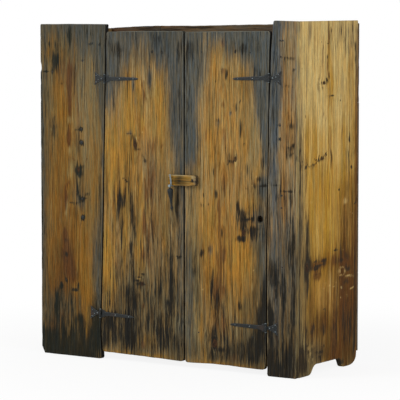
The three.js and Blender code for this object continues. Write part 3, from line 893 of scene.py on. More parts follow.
@dataclass
class Board(Slab):
    """A sawn board with worn arrises, knots, splits, holes and weathering."""

    wear: float = 1.0
    knots: Marks = field(default_factory=list)  # across, along, half width, half length
    dents: Marks = field(default_factory=list)  # across, along, radius, depth
    holes: Marks = field(default_factory=list)  # across, along, diameter
    weather: dict[Tone, Marks] = field(default_factory=dict)

    def knotted(self, a: np.ndarray, b: np.ndarray) -> tuple[np.ndarray, np.ndarray]:
        """The board's knots.

        Args:
            a: places across the board.
            b: places along it.

        Returns:
            How much of a knot each place is, and how far the grain bends aside there, in millimetres.
        """
        knot, flow = np.zeros_like(a), np.zeros_like(a)
        ragged = (ripple(a / 9, b / 9, self.seed + 9) - 0.5) * 0.35
        for x, z, wide, tall in self.knots:
            dx, dz = a - x, b - z
            near = np.exp(-((dz / (2.6 * tall)) ** 2)) * np.exp(-np.abs(dx) / (3 * wide))
            flow -= 0.9 * wide * dx / np.sqrt(dx * dx + (0.6 * wide) ** 2) * near
            reach = np.sqrt((dx / wide) ** 2 + (dz / tall) ** 2) + ragged
            knot = np.maximum(knot, smooth(1.25, 0.2, reach))
        return knot, flow

    def cracked(
        self, share: np.ndarray, b: np.ndarray, open_face: np.ndarray,
    ) -> tuple[np.ndarray, np.ndarray]:
        """The board's splits.

        Args:
            share: places across the board as shares of its width.
            b: places along it.
            open_face: where the face is that splits open.

        Returns:
            How deep each place has opened, in millimetres, and where it has.
        """
        opened, cracks = np.zeros_like(b), np.zeros_like(b)
        for place, start, end, much in self.splits:
            middle, span = self.share_of(place)
            on = (np.abs(share - middle) < 0.35 / span) & (b > start) & (b < end) & open_face
            opened += on * much * np.sqrt(np.sin(np.pi * np.clip((b - start) / (end - start), 0, 1)))
            cracks = np.maximum(cracks, on)
        return opened, cracks

    def weathered(self, obj: bpy.types.Object) -> None:
        """Wears the board's arrises and face, and keeps on its mesh what its finish reads.

        Args:
            obj: the board's mesh.
        """
        a, b, deep = self.local(points_of(obj))
        low, high = self.ends(a, b)
        bored = np.zeros_like(a)
        for x, z, across in self.holes:
            bored = np.maximum(bored, smooth(across / 2 + 1.4, across / 2 + 0.9, np.hypot(a - x, b - z)))
        left, right = along(self.left, b), along(self.right, b)
        sides = np.minimum(a - left, right - a)
        edge = np.minimum(sides, np.minimum(b - low, high - b))
        skin = np.minimum(deep, self.thick - deep)
        front = deep < self.thick / 2
        chew = smooth(0.45, 1.0, ripple(a / 31, b / 23, self.seed))
        chew = chew + 0.4 * ripple(a / 7, b / 9, self.seed + 5)
        bite = self.wear * chew * smooth(7, 0, edge) * smooth(9, 0, skin)
        wave = ripple(a / 24, b / 260, self.seed + 1) * 0.5 + ripple(a / 8, b / 70, self.seed + 2) * 0.28
        push = self.wear * (wave * 0.8 + bite * 0.9) * smooth(6, 1, skin)
        deep = deep + np.where(front, push, -push)
        for x, z, radius, much in self.dents:
            deep += front * much * smooth(radius * 1.15, radius * 0.75, np.hypot(a - x, b - z))
        opened, cracks = self.cracked((a - left) / (right - left), b, front & (skin < 3))
        deep += opened
        inward = np.where(a - left < right - a, 1, -1)
        sideways = bite * 0.8 * (sides < 5) * inward
        lift = bite * 0.6 * np.where(b - low < 4, 1, np.where(high - b < 4, -1, 0))
        put_points(obj, self.world(a + sideways, b + lift, deep))
        shown = np.maximum(smooth(self.thick * 0.98, self.thick * 0.8, deep), smooth(5, 1, edge))
        for index, tone in enumerate(Tone):
            amount = self.painted(a, b, self.weather.get(tone, []), self.seed + 20 + index, tone.soft)
            if tone is Tone.SOOT:
                amount = np.maximum(amount, cracks)
            keep_attribute(obj, tone.value, amount * shown)
        keep_attribute(obj, "arris", smooth(4.5, 0.5, edge) * smooth(4.5, 0.5, skin))
        # rim: the edge faces and the bores, where the finish paints shade
        keep_attribute(obj, "rim", np.maximum(smooth(1.5, 0.3, edge) * smooth(0.3, 0.9, skin), bored))
        knot, flow = self.knotted(a, b)
        keep_attribute(obj, "knot", knot * shown)
        keep_attribute(obj, "flow", flow * MM)

    @staticmethod
    def painted(a: np.ndarray, b: np.ndarray, marks: Marks, seed: int, soft: bool) -> np.ndarray:
        """How much of one tone each place has.

        Args:
            a: places across the board.
            b: places along it.
            marks: rows of across, along, half width, half length, amount and, if it leans, degrees.
            seed: which noise frays the marks.
            soft: whether the marks fade out broadly.

        Returns:
            Amounts from 0 to 1.
        """
        bare = np.ones_like(a)
        fray = ripple(a / 4.5, b / 400, seed) - 0.5
        wobble = ripple(a / 40, b / 45, seed + 3) - 0.5
        drift = ripple(a / 26, b / 300, seed + 7) - 0.5
        for x, z, wide, tall, much, *lean in marks:
            turn = math.radians(lean[0] if lean else 0)
            if soft:
                ragged = fray * min(0.25 * tall, 20) + drift * 0.8 * tall
            else:
                ragged = fray * min(0.7 * tall, 70)
            dx, dz = a - x + wobble * min(0.7 * wide, 9), b - z + ragged
            across = (dx * math.cos(turn) - dz * math.sin(turn)) / wide
            up = (dx * math.sin(turn) + dz * math.cos(turn)) / tall
            if soft:
                bare *= 1 - much * np.exp(-0.9 * (across ** 2 + up ** 2))
            else:
                reach = (np.abs(across) ** 2.4 + np.abs(up) ** 2.4) ** (1 / 2.4)
                bare *= 1 - much * smooth(1.4, 0.2, reach)
        return 1 - bare

    def pierce(self, obj: bpy.types.Object) -> None:
        """Cuts the board's holes with turned cutters that open a little towards both faces.

        Args:
            obj: the board's mesh.
        """
        for a, b, wide in self.holes:
            r, t = wide / 2, self.thick
            front = [(0, 4), (r + 3, 4), (r + 1, 0), (r, -2)]
            shape = front + [(p, -t - d) for p, d in reversed(front)]
            cutter = turned(shape, self.place(a, b), self.face, 48)
            cut = obj.modifiers.new("hole", "BOOLEAN")
            cut.operation, cut.object, cut.solver = "DIFFERENCE", cutter, "EXACT"
            apply_all(obj)
            bpy.data.objects.remove(cutter)

    def build(self, finish: bpy.types.Material) -> bpy.types.Object:
        """Makes the board, wears it and dresses it.

        Args:
            finish: its wood.

        Returns:
            The piece.
        """
        obj = self.blank()
        self.pierce(obj)
        self.weathered(obj)
        return settle(obj, self.name, self.body, finish, (self.node,))


def box_board(
    node: str, body: str, grain: Vector, face: Vector, grow: float = 0.0, **more: object,
) -> Board:
    """A plain rectangular board in the place of a CAD node.

    Args:
        node: the CAD node.
        body: the body it rides on.
        grain: the direction of its length.
        face: out of its better side.
        grow: how far it goes past the node's box on its right, in millimetres.
        **more: fields of Board that differ from its defaults.

    Returns:
        The board, not yet built.
    """
    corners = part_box(node)
    wide = grain.cross(face)

    def reach(axis: Vector) -> tuple[float, float]:
        """The box's two ends along an axis, in millimetres."""
        ends = sorted(corner.dot(axis) / MM for corner in corners)
        return ends[0], ends[1]

    (a0, a1), (b0, b1), (c0, c1) = reach(wide), reach(grain), reach(face)
    plain = dict(
        name=node + "_board", body=body, node=node, face=face, grain=grain, corner=face * (c1 * MM),
        left=[(0, a0)], right=[(0, a1 + grow)], foot=[(0, b0)], top=[(0, b1)], thick=c1 - c0, step=(12, 26),
        slot="inner_pine")
    return Board(**{**plain, **more})


# ---- iron


def hammered(obj: bpy.types.Object, deep: float, size: float, seed: int, wear_and_glint: float) -> bpy.types.Object:
    """Gives a small piece of iron the uneven surface of hammer work.

    Args:
        obj: the piece.
        deep: the deepest blow, in millimetres.
        size: how wide a blow is, in millimetres.
        seed: which pattern.
        wear_and_glint: how bright use has rubbed it, with the painted glint that this also sets, from 0 to
            1.

    Returns:
        The piece.
    """
    co = points_of(obj)
    normals = np.array([v.normal for v in obj.data.vertices])
    at = co / (size * MM)
    blows = ripple(at[:, 0] + at[:, 1] * 0.6, at[:, 2] + at[:, 1] * 0.8, seed)
    put_points(obj, co - normals * (blows * deep * MM)[:, None])
    keep_attribute(obj, "arris", np.full(len(co), wear_and_glint))
    return obj


@dataclass
class Leaf(Slab):
    """A flat forged leaf, hammered, its edges rubbed and given a painted glint."""

    step: tuple[float, float] = (1.8, 2.6)
    rounds: tuple[float, float, float, float] = (0.8, 0.8, 0.8, 0.8)
    arris: float = 0.5

    def model(self) -> bpy.types.Object:
        """Makes the leaf without dressing it.

        Returns:
            The leaf's mesh.
        """
        obj = self.blank()
        a, b, deep = self.local(points_of(obj))
        low, high = self.ends(a, b)
        sides = np.minimum(a - along(self.left, b), along(self.right, b) - a)
        edge = np.minimum(sides, np.minimum(b - low, high - b))
        front = smooth(1.5, 0.5, deep)
        blows = ripple(a / 5, b / 6, self.seed) * 0.45 + ripple(a / 3, b / 3, self.seed + 1) * 0.15
        put_points(obj, self.world(a, b, deep + front * (blows + 0.5 * smooth(2.2, 0.2, edge))))
        # a painted glint along the leaf's edges, with some rubbed wear
        keep_attribute(obj, "arris", smooth(1.6, 0.2, edge) * front * 0.55)
        return obj


@dataclass
class NailHeads:
    """Forged nail heads: one is modelled, and its copies are driven in."""

    facets: int = 8
    seed: int = 3
    pattern: bpy.types.Object | None = None

    def first(self) -> bpy.types.Object:
        """The head that the others are copied from: 1 mm wide and 1 mm proud, looking up.

        Returns:
            The head, at the origin.
        """
        profile = [(0, -0.6), (0.46, -0.6), (0.5, 0.05), (0.44, 0.4), (0.24, 0.82), (0.1, 0.97), (0, 1)]
        head = turned(profile, Vector(), Z, self.facets)
        with editing(head):
            bpy.ops.transform.vertex_random(offset=0.03 * MM, uniform=0.6, seed=self.seed)
        return head

    def driven(
        self, centre: Vector, out: Vector, wide: float, proud: float, turn: float, wear_and_glint: float,
    ) -> bpy.types.Object:
        """A copy of the head in its place.

        Args:
            centre: where the head meets what it holds.
            out: the direction it looks in.
            wide: its width in millimetres.
            proud: its height in millimetres.
            turn: degrees about its own axis.
            wear_and_glint: how bright it is rubbed, with its painted glint.

        Returns:
            The head, with its own mesh.
        """
        self.pattern = self.pattern or self.first()
        copy = bpy.data.objects.new("head", self.pattern.data.copy())
        bpy.context.collection.objects.link(copy)
        aim = out.to_track_quat("Z", "Y").to_matrix().to_4x4()
        size = Matrix.Diagonal((wide, wide * (0.92 + 0.08 * math.sin(turn)), proud, 1))
        spin = Matrix.Rotation(math.radians(turn), 4, "Z")
        copy.data.transform(Matrix.Translation(centre) @ aim @ spin @ size)
        keep_attribute(copy, "arris", np.full(len(copy.data.vertices), wear_and_glint))
        return copy

    def row(self, places: Marks, board: Slab, wear_and_glint: float) -> list[bpy.types.Object]:
        """Heads at board places.

        Args:
            places: rows of across, along, width and height above the face, in millimetres.
            board: the board or leaf they are driven through.
            wear_and_glint: how bright they are rubbed, with their painted glint.

        Returns:
            The heads.
        """
        made = []
        for index, (a, b, wide, proud) in enumerate(places):
            made.append(self.driven(board.place(a, b), board.face, wide, proud, 37 * index + a, wear_and_glint))
        return made

    def put_away(self) -> None:
        """Removes the pattern once all heads are driven."""
        if self.pattern:
            bpy.data.objects.remove(self.pattern)


@dataclass
class StrapHinge:
    """A forged strap hinge: fishtail plate and pin stay on the stile, the strap goes with its door."""

    name: str
    door: str
    hand: int  # 1 where the strap runs to the right of its pin, -1 to the left
    pin: Vector
    axis: Vector
    drop: float  # how far the strap's tip lies below its root, in millimetres
    knuckle: float = 10.0
    middle_knuckle: float = 12.0
    end_knuckle: float = 10.0
    play: float = 0.5
    leaf_t: float = 3.0
    seed: int = 1
    strap_half: Curve = field(default_factory=lambda: [
        (5.6, 15.8), (8, 16.4), (10.5, 15.8), (12.5, 13), (14.5, 14.6), (17, 14.8), (19.5, 12), (22, 8.6),
        (26, 7.9), (40, 7.6), (76, 7.2), (120, 6.2), (146, 5.4), (154, 4.8), (160, 3.4), (164, 1.9),
        (166, 1.0)])
    plate_half: Curve = field(default_factory=lambda: [
        (0, 6), (8, 5.8), (13, 6.4), (20, 8.4), (29, 11.8), (38, 16.8), (46, 22.5), (52, 27)])
    plate_end: Curve = field(default_factory=lambda: [
        (-27, 52), (-14, 49.6), (0, 48.6), (14, 49.6), (27, 52)])
    strap_nails: Marks = field(default_factory=lambda: [(75, 5.2), (142, 4.4)])  # along, width
    plate_nails: Marks = field(default_factory=lambda: [  # along, across, width
        (16, 0, 6), (31, -4, 4.4), (42, 12, 4.4), (42, -14, 4.4)])

    def leaf(
        self, way: int, half: Curve, end: Curve, drop: float = 0.0, between: tuple | None = None,
    ) -> Leaf:
        """A leaf that starts at the pin.

        Args:
            way: 1 towards the door, -1 towards the stile.
            half: its half height along its length.
            end: its far end.
            drop: how far its tip lies lower.
            between: for a leaf with straight sides, its two sides instead of half.

        Returns:
            The leaf, not yet modelled.
        """
        grain = (Y.cross(self.axis) * self.hand * way).normalized()
        long = half[-1][0]
        low = [(b, (between[0] if between else -h) + self.hand * drop * b / long) for b, h in half]
        high = [(b, (between[1] if between else h) + self.hand * drop * b / long) for b, h in half]
        corner = self.pin + Y * (self.knuckle / 2 - self.leaf_t) * MM
        root, t = [(0, half[0][0])], self.leaf_t
        return Leaf("leaf", self.door, "", -Y, grain, corner, low, high, root, end, t, seed=self.seed)

    def barrel(self, up: float, tall: float) -> bpy.types.Object:
        """One knuckle, its middle that far up the pin.

        Args:
            up: millimetres along the pin.
            tall: its length in millimetres.

        Returns:
            The knuckle.
        """
        r, h = self.knuckle / 2, tall / 2
        end = [(0, -h), (r - 0.9, -h), (r - 0.2, 0.7 - h), (r, 1.6 - h)]
        roll = turned(there_and_back(end, (r - 0.2, 0)), self.pin + self.axis * up * MM, self.axis, 20)
        return hammered(roll, 0.3, 3, self.seed, 0.25)

    def plate(self, heads: NailHeads, iron: bpy.types.Material) -> None:
        """The fishtail plate with the middle knuckle.

        Args:
            heads: the nail heads.
            iron: its finish.
        """
        leaf = self.leaf(-1, self.plate_half, self.plate_end)
        nails = [(a, b, wide, 1.6) for b, a, wide in self.plate_nails]
        parts = [leaf.model(), self.barrel(0, self.middle_knuckle), *heads.row(nails, leaf, 0.75)]
        node = (f"hinge_plate_{self.name}",)
        settle(joined(parts), f"plate_{self.name}_iron", "carcass", iron, node)

    def strap(self, heads: NailHeads, iron: bpy.types.Material) -> None:
        """The strap with its two knuckles.

        Args:
            heads: the nail heads.
            iron: its finish.
        """
        leaf = self.leaf(1, self.strap_half, [(0, self.strap_half[-1][0])], self.drop)
        inner = self.middle_knuckle / 2 + self.play
        outer = inner + self.end_knuckle
        run: Curve = [(0, 0), (8, 0)]
        tabs = [self.leaf(1, run, [(0, 8)], 0, side).model() for side in ((inner, outer), (-outer, -inner))]
        barrels = [self.barrel(sign * (inner + outer) / 2, self.end_knuckle) for sign in (1, -1)]
        slope = self.hand * self.drop / self.strap_half[-1][0]
        nails = [(slope * b, b, wide, 1.5) for b, wide in self.strap_nails]
        parts = [leaf.model(), *tabs, *barrels, *heads.row(nails, leaf, 0.75)]
        node = (f"hinge_strap_{self.name}",)
        settle(joined(parts), f"strap_{self.name}_iron", self.door, iron, node)

    def spindle(self, iron: bpy.types.Material) -> None:
        """The pin with its two riveted heads.

        Args:
            iron: its finish.
        """
        h = self.middle_knuckle / 2 + self.play + self.end_knuckle + 0.3
        end = [(0, -h - 2), (2.6, -h - 2), (4, -h - 1.2), (3.8, -h), (2.5, -h + 0.1)]
        obj = hammered(turned(there_and_back(end), self.pin, self.axis, 18), 0.15, 2, self.seed, 0.8)
        settle(obj, f"pin_{self.name}_iron", "carcass", iron, (f"hinge_pin_{self.name}",))


# ---- what weather and use have done to each board, and where shade and highlight are painted on it
# A mark is: across, along, half width, half length, amount and, if it leans, degrees.

LEFT_STILE_WEATHER: dict[Tone, Marks] = {
    Tone.GREY: [
        (2, 690, 16, 720, 0.8), (200, 1385, 190, 70, 0.75), (265, 1310, 80, 120, 0.85),
        (312, 1190, 30, 170, 0.75), (326, 800, 12, 520, 0.75), (300, 320, 24, 260, 0.52),
        (20, 1190, 26, 60, 0.4), (135, 1340, 30, 60, 0.4), (215, 1130, 60, 200, 0.25),
        (20, 1340, 24, 60, 0.28), (298, 480, 26, 160, 0.24), (200, 650, 34, 34, 0.5),
        (190, 690, 26, 40, 0.3), (286, 420, 20, 130, 0.28),
    ],
    Tone.SOOT: [
        (150, 25, 220, 120, 0.8), (290, 95, 48, 125, 1), (100, 120, 60, 60, 0.5), (200, 120, 40, 55, 0.5),
        (83, 190, 13, 85, 0.9), (130, 190, 14, 60, 0.5), (158, 200, 9, 75, 0.7), (192, 155, 30, 30, 0.6),
        (150, 1320, 13, 66, 0.75), (80, 1290, 10, 40, 0.6), (74, 1230, 20, 40, 0.85),
        (72, 1200, 14, 30, 0.6), (115, 1262, 8, 20, 0.5), (45, 1285, 8, 20, 0.5), (62, 1170, 10, 16, 0.6),
        (110, 1124, 12, 8, 0.5), (66, 925, 9, 40, 0.75), (72, 980, 11, 28, 0.5, 25), (84, 950, 10, 16, 0.3),
        (50, 910, 10, 8, 0.4), (197, 772, 17, 28, 0.95), (215, 765, 10, 18, 0.6), (188, 800, 12, 14, 0.5),
        (228, 800, 6, 30, 0.4, 45), (214, 652, 19, 13, 0.9), (236, 668, 6, 30, 0.5, 60),
        (178, 634, 34, 7, 0.6), (190, 690, 9, 55, 0.6), (186, 740, 8, 60, 0.4), (188, 860, 5, 80, 0.45),
        (212, 940, 9, 8, 1), (190, 936, 24, 3, 0.6), (196, 948, 6, 12, 0.4), (212, 884, 11, 12, 1),
        (217, 577, 12, 13, 1), (208, 548, 8, 14, 0.4), (198, 530, 5, 10, 0.4), (218, 1218, 11, 11, 0.5),
        (232, 1222, 16, 2.5, 0.5), (266, 1288, 12, 9, 0.7), (252, 1282, 8, 8, 0.5), (304, 1283, 6, 9, 0.9),
        (131, 314, 6, 15, 0.95, -20), (105, 290, 10, 18, 0.75), (165, 275, 9, 7, 0.9), (180, 273, 14, 6, 1),
        (193, 292, 5, 18, 0.85), (131, 420, 11, 14, 0.75), (128, 475, 12, 16, 0.55),
        (130, 392, 12, 14, 0.5), (34, 1100, 5, 70, 0.5), (180, 1060, 3, 240, 0.4),
        (30, 1172, 28, 3, 0.95, 4), (3, 1000, 6, 300, 0.5), (3, 500, 6, 400, 0.5), (280, 230, 10, 60, 0.4),
        (222, 300, 4, 40, 0.35), (217, 470, 2.5, 80, 0.35), (155, 50, 200, 60, 0.64), (20, 15, 50, 40, 0.9),
        (150, 5, 170, 22, 0.72), (90, 1200, 10, 50, 0.4), (214, 652, 12, 9, 0.9),
        (205, 660, 22, 4, 0.8, 30), (226, 652, 22, 3, 0.6, -20), (200, 672, 5, 20, 0.7),
        (217, 577, 13, 11, 1), (165, 632, 20, 3, 0.7, 8), (85, 230, 12, 60, 0.8), (308, 600, 6, 300, 0.4),
        (10, 60, 26, 70, 0.9), (60, 40, 60, 60, 0.8), (75, 1290, 10, 24, 0.5), (80, 1228, 16, 20, 0.5),
        (46, 1288, 9, 10, 0.5), (212, 938, 12, 11, 1), (212, 884, 13, 13, 1), (190, 772, 14, 20, 0.9),
        (208, 784, 10, 12, 0.7, 30), (205, 752, 8, 16, 0.6), (150, 1180, 9, 50, 0.3), (217, 577, 11, 10, 1),
        (175, 276, 16, 5, 0.8), (190, 290, 5, 12, 0.6), (105, 290, 8, 12, 0.7), (131, 312, 6, 10, 0.7, 20),
        (85, 210, 10, 40, 0.5), (131, 418, 8, 14, 0.6), (128, 480, 9, 12, 0.4),
    ],
    Tone.RED: [
        (150, 1135, 19, 78, 0.95), (150, 1040, 9, 60, 0.85), (147, 905, 13, 44, 0.9),
        (148, 800, 4, 34, 0.85), (174, 1190, 3, 190, 0.5), (134, 655, 11, 26, 0.85), (128, 620, 7, 14, 0.7),
        (125, 495, 17, 36, 0.75), (135, 440, 26, 60, 0.6), (140, 380, 34, 60, 0.65),
        (160, 330, 30, 40, 0.4), (140, 715, 8, 26, 0.9, 40), (175, 815, 4, 14, 0.6, -50),
        (120, 170, 60, 30, 0.4), (120, 1180, 26, 40, 0.4), (90, 1190, 26, 40, 0.35),
        (200, 620, 30, 40, 0.3), (172, 760, 4, 70, 0.4), (180, 700, 18, 30, 0.3), (128, 500, 15, 34, 0.9),
        (130, 430, 24, 60, 0.7), (150, 375, 34, 40, 0.7), (126, 640, 8, 50, 0.8), (170, 330, 30, 36, 0.4),
        (152, 1150, 13, 70, 0.9), (150, 1050, 8, 60, 0.8), (147, 905, 12, 38, 0.9), (132, 640, 6, 50, 0.8),
        (128, 680, 5, 40, 0.7), (130, 480, 10, 40, 0.7), (133, 400, 12, 44, 0.6), (140, 340, 16, 30, 0.5),
    ],
    Tone.HONEY: [
        (90, 560, 120, 420, 0.8), (110, 900, 60, 260, 0.7), (215, 380, 55, 280, 0.85),
        (100, 1110, 30, 120, 0.6), (60, 1310, 26, 22, 0.9), (42, 1255, 22, 26, 0.8),
        (112, 1240, 20, 30, 0.6), (176, 1200, 4, 180, 0.9), (215, 215, 36, 42, 1), (230, 150, 12, 60, 0.9),
        (280, 740, 40, 160, 0.4), (178, 1330, 4, 50, 0.7), (140, 1010, 26, 40, 0.7), (215, 205, 40, 46, 1),
        (232, 150, 12, 50, 1), (40, 260, 30, 70, 0.7), (75, 250, 20, 60, 0.5), (60, 1315, 22, 16, 0.9),
        (52, 1262, 16, 20, 0.9), (115, 1245, 18, 24, 0.7), (95, 1290, 12, 20, 0.5), (134, 600, 9, 70, 0.9),
        (215, 230, 40, 60, 0.6), (60, 230, 40, 80, 0.5),
    ],
    Tone.OLIVE: [
        (230, 1080, 60, 230, 0.8), (250, 760, 50, 160, 0.4), (48, 700, 26, 300, 0.7),
        (20, 1330, 30, 50, 0.8), (45, 1120, 22, 110, 0.7), (20, 300, 26, 140, 0.5),
        (265, 420, 26, 200, 0.4),
    ],
    Tone.RUDDY: [
        (200, 960, 26, 130, 0.5), (160, 560, 60, 120, 0.4), (100, 620, 20, 200, 0.4),
        (240, 500, 26, 160, 0.4), (250, 1000, 40, 120, 0.3), (60, 200, 50, 70, 0.6),
    ],
    Tone.PALE: [
        (150, 850, 15, 24, 0.54), (158, 775, 18, 50, 0.57), (140, 750, 10, 30, 0.36),
        (135, 600, 10, 60, 0.25), (167, 1120, 4, 150, 0.42), (143, 1220, 4, 36, 0.42),
        (150, 975, 18, 22, 0.48), (140, 1000, 4, 60, 0.3), (192, 802, 10, 5, 0.36), (55, 935, 10, 12, 0.42),
        (40, 1180, 18, 26, 0.24), (130, 560, 8, 30, 0.18), (82, 55, 6, 6, 0.3), (166, 990, 4, 40, 0.42),
        (135, 610, 9, 40, 0.36), (128, 590, 8, 12, 0.36), (141, 680, 6, 16, 0.3),
    ],
    Tone.UMBER: [
        (170, 1355, 230, 70, 0.85), (90, 1270, 60, 80, 0.49), (130, 1170, 40, 90, 0.5),
        (10, 1000, 30, 420, 0.7), (322, 1150, 24, 260, 0.8), (195, 770, 50, 60, 0.45),
        (200, 670, 50, 80, 0.5), (310, 560, 24, 300, 0.33), (300, 300, 34, 200, 0.7),
        (110, 205, 110, 60, 0.7), (200, 150, 60, 60, 0.36), (66, 950, 30, 60, 0.45),
        (12, 600, 26, 300, 0.6), (240, 1250, 70, 60, 0.5), (190, 900, 20, 100, 0.3),
        (10, 250, 24, 160, 0.6), (60, 1120, 60, 120, 0.3), (90, 850, 80, 120, 0.25), (10, 20, 60, 60, 0.8),
        (150, 1170, 30, 60, 0.4), (100, 200, 60, 50, 0.5), (300, 1100, 30, 90, 0.3),
    ],
    Tone.BURNT: [
        (90, 330, 75, 190, 0.55), (150, 420, 46, 130, 0.7), (50, 590, 60, 200, 0.25),
        (125, 650, 24, 90, 0.5), (100, 240, 70, 70, 0.6), (150, 1050, 24, 160, 0.4),
        (100, 1180, 34, 70, 0.4), (60, 130, 70, 60, 0.8), (100, 800, 60, 200, 0.35),
    ],
    Tone.CHAR: [
        (110, 200, 130, 70, 0.8), (100, 380, 60, 140, 0.4), (75, 1240, 50, 80, 0.6),
        (130, 1150, 30, 130, 0.3), (205, 670, 40, 80, 0.5), (10, 1000, 20, 360, 0.5),
        (200, 1340, 160, 50, 0.4), (200, 770, 40, 60, 0.4), (310, 320, 34, 200, 0.5),
        (60, 950, 30, 50, 0.5), (10, 500, 20, 360, 0.5),
    ],
    Tone.RUBBED: [(322, 700, 8, 400, 0.5), (150, 1368, 180, 6, 0.3)],
}

